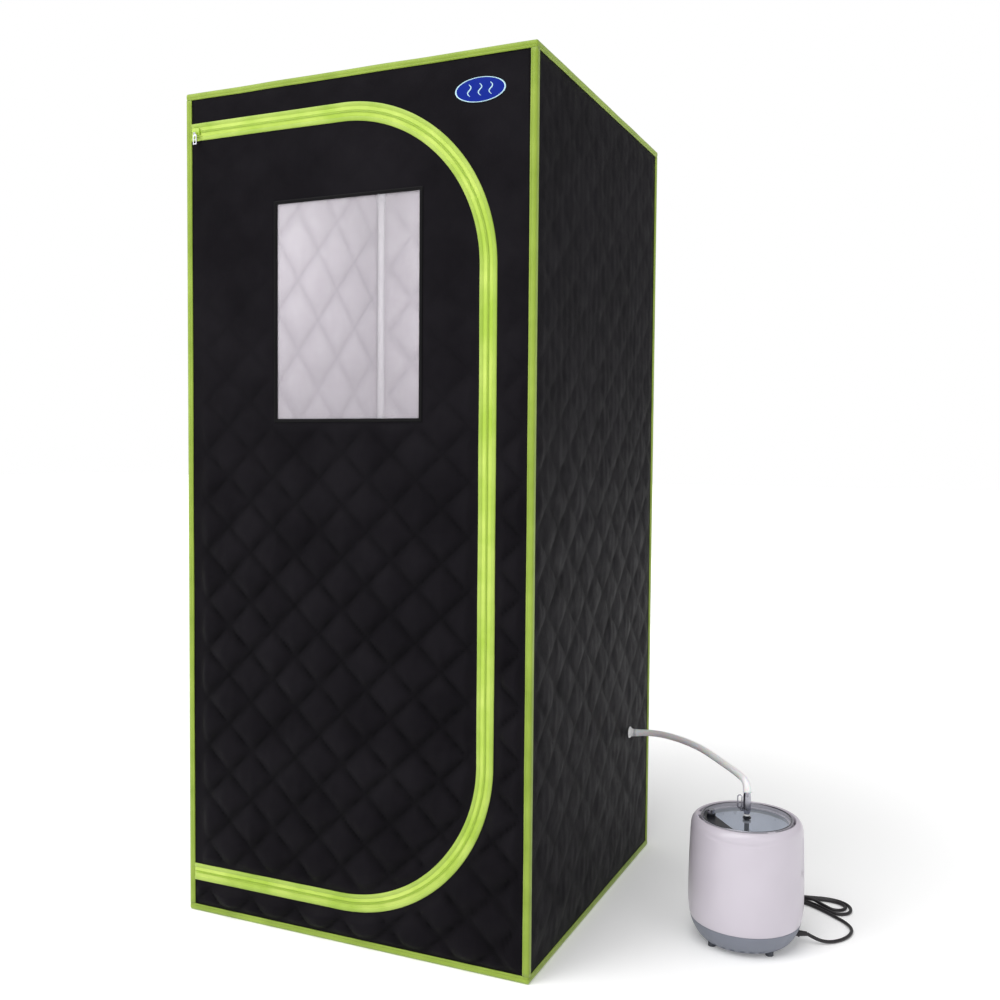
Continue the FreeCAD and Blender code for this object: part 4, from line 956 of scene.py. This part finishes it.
def pot_body():
    outer = refine([tuple(spot) for spot in chaikin(WALL, 1, closed=False)], 0.0025, closed=False)
    inner = [(0.0962, 0.2362), (0.0962, 0.2345), (0.1045, 0.2345), (0.1065, 0.2300), (0.1060, 0.2000),
             (0.1060, 0.1400), (0.1085, 0.0900), (0.1090, 0.0500)]
    housing = lathe("pot_housing_shell", outer + inner, housing_plastic, segments=256, change=hand_grips)
    settle(housing, "cabin", "white_plastic", "pot_housing", "pot_rim")

    slots = [math.radians(degrees) for degrees in (-118, -106, -94, -82, -70, -58, 62, 74, 86, 98, 110, 122)]
    base = chaikin([(0.1120, 0.0500), (0.1112, 0.0440), (0.1062, 0.0310), (0.0970, 0.0165), (0.0900, 0.0095),
                    (0.0860, 0.0080), (0.0600, 0.0080)], 2, closed=False)
    seam = [(0.1090, 0.0498), (0.1112, 0.0498), (0.1118, 0.0492)]
    profile = seam + [(min(r, 0.1122), z) for r, z in base if z < 0.049]
    profile += [(0.0001, 0.0080), (0.0001, 0.0110), (0.0850, 0.0110), (0.0945, 0.0185), (0.1032, 0.0318),
                (0.1090, 0.0480)]

    def vents(angle, radius, height):
        cut = np.zeros(np.broadcast(angle, radius).shape)
        for middle in slots:
            apart = np.abs(np.mod(angle - middle + math.pi, math.tau) - math.pi)
            cut = np.maximum(cut, smoothstep(0.055, 0.040, apart) * smoothstep(0.0100, 0.0108, height)
                             * smoothstep(0.0172, 0.0164, height))
        outer_side = radius - 0.8 * height > 0.081
        return radius - 0.0030 * cut * outer_side, height + 0 * angle

    lower = lathe("pot_base_shell", refine(profile, 0.0016), base_plastic, segments=288, change=vents)
    settle(lower, "cabin", "grey_plastic", "pot_base")


def torus(name, radius, height, thick, material):
    turn = np.linspace(0, math.tau, 12, endpoint=False)
    profile = np.stack([radius + thick * np.cos(turn), height + thick * np.sin(turn)], 1)
    return lathe(name, profile, material, segments=160)


def pot_top():
    """The lid's trim that CAD leaves plain: two bright rim lines, and the washer under the hose connector."""
    ring_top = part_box("lock_ring")[1].z
    outer = torus("ring_trim_outer", 0.0914, ring_top, 0.0009, chrome)
    settle(outer, "lock_ring", "chrome")
    inner = torus("ring_trim_inner", 0.0893, ring_top - 0.0002, 0.0008, black_plastic)
    settle(inner, "lock_ring", "black_plastic")
    washer = [(0.0042, 0.2578), (0.0064, 0.2578), (0.0068, 0.2584), (0.0068, 0.2606), (0.0062, 0.2612),
              (0.0042, 0.2612)]
    settle(lathe("connector_washer", chaikin(washer), port_plastic, segments=48), "lid", "white_plastic")


STAYING_PIECES = [  # CAD pieces that are kept: their material, and the width of their softened edges
    ("water_tank", steel, 0.0),
    ("tank_seal", seal_rubber, 0.0005),
    ("heating_plate", alloy, 0.001),
    ("thermal_cutout", black_plastic, 0.0005),
    ("terminal_block", black_plastic, 0.0005),
    ("lid_catches", housing_plastic, 0.0003),
    ("pot_feet", foot_rubber, 0.0008),
    ("foot_screws", alloy, 0.0),
    ("clear_lid", clear_lid_plastic, 0.0008),
    ("lid_segment", black_plastic, 0.0008),
    ("lock_ring", ring_plastic, 0.0006),
    ("lock_lugs", ring_plastic, 0.0002),
    ("steam_nozzle", black_plastic, 0.0004),
    ("nozzle_nut", alloy, 0.0004),
    ("hose_connector", chrome, 0.0006),
    ("release_loop", chrome, 0.0004),
    ("valve_weight", chrome, 0.0010),
    ("cord_gland", cord_rubber, 0.0006),
    ("cord_tie", cord_rubber, 0.0005),
    ("power_plug", cord_rubber, 0.0012),
    ("zip_slider", lime_plastic, 0.0008),
    ("zip_pull", chrome, 0.0003),
]


# ---- build ----

steam_hose()
power_cord()
finish_frame()
for kept_name, kept_material, edge_width in STAYING_PIECES:
    finish_node(kept_name, kept_material, edge_width)
front_panel()
door_flap()
window()
port_low, port_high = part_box("steam_port")
port_hole = ((port_low.y + port_high.y) / 2, (port_low.z + port_high.z) / 2, PORT_RADIUS)
cloths, level_cloths = [cover_cloth, lining_cloth], [cover_flat, lining_flat]
plain_panel("right_panel", "right", PANEL_LOW, PANEL_TOP, 0.0065, cloths, port_hole)
plain_panel("rear_panel", "rear", PANEL_LOW, PANEL_TOP, 0.008, cloths)
plain_panel("left_panel", "left", PANEL_LOW, PANEL_TOP, 0.008, cloths)
plain_panel("roof_panel", "roof", -EDGE, EDGE, 0.009, level_cloths)
plain_panel("floor_panel", "floor", -EDGE, EDGE, 0.010, level_cloths)
ring_binding("top", True)
ring_binding("bottom", False)
corner_bindings()
zip_tapes()
zip_teeth()
badge()
steam_port()
pot_body()
pot_top()
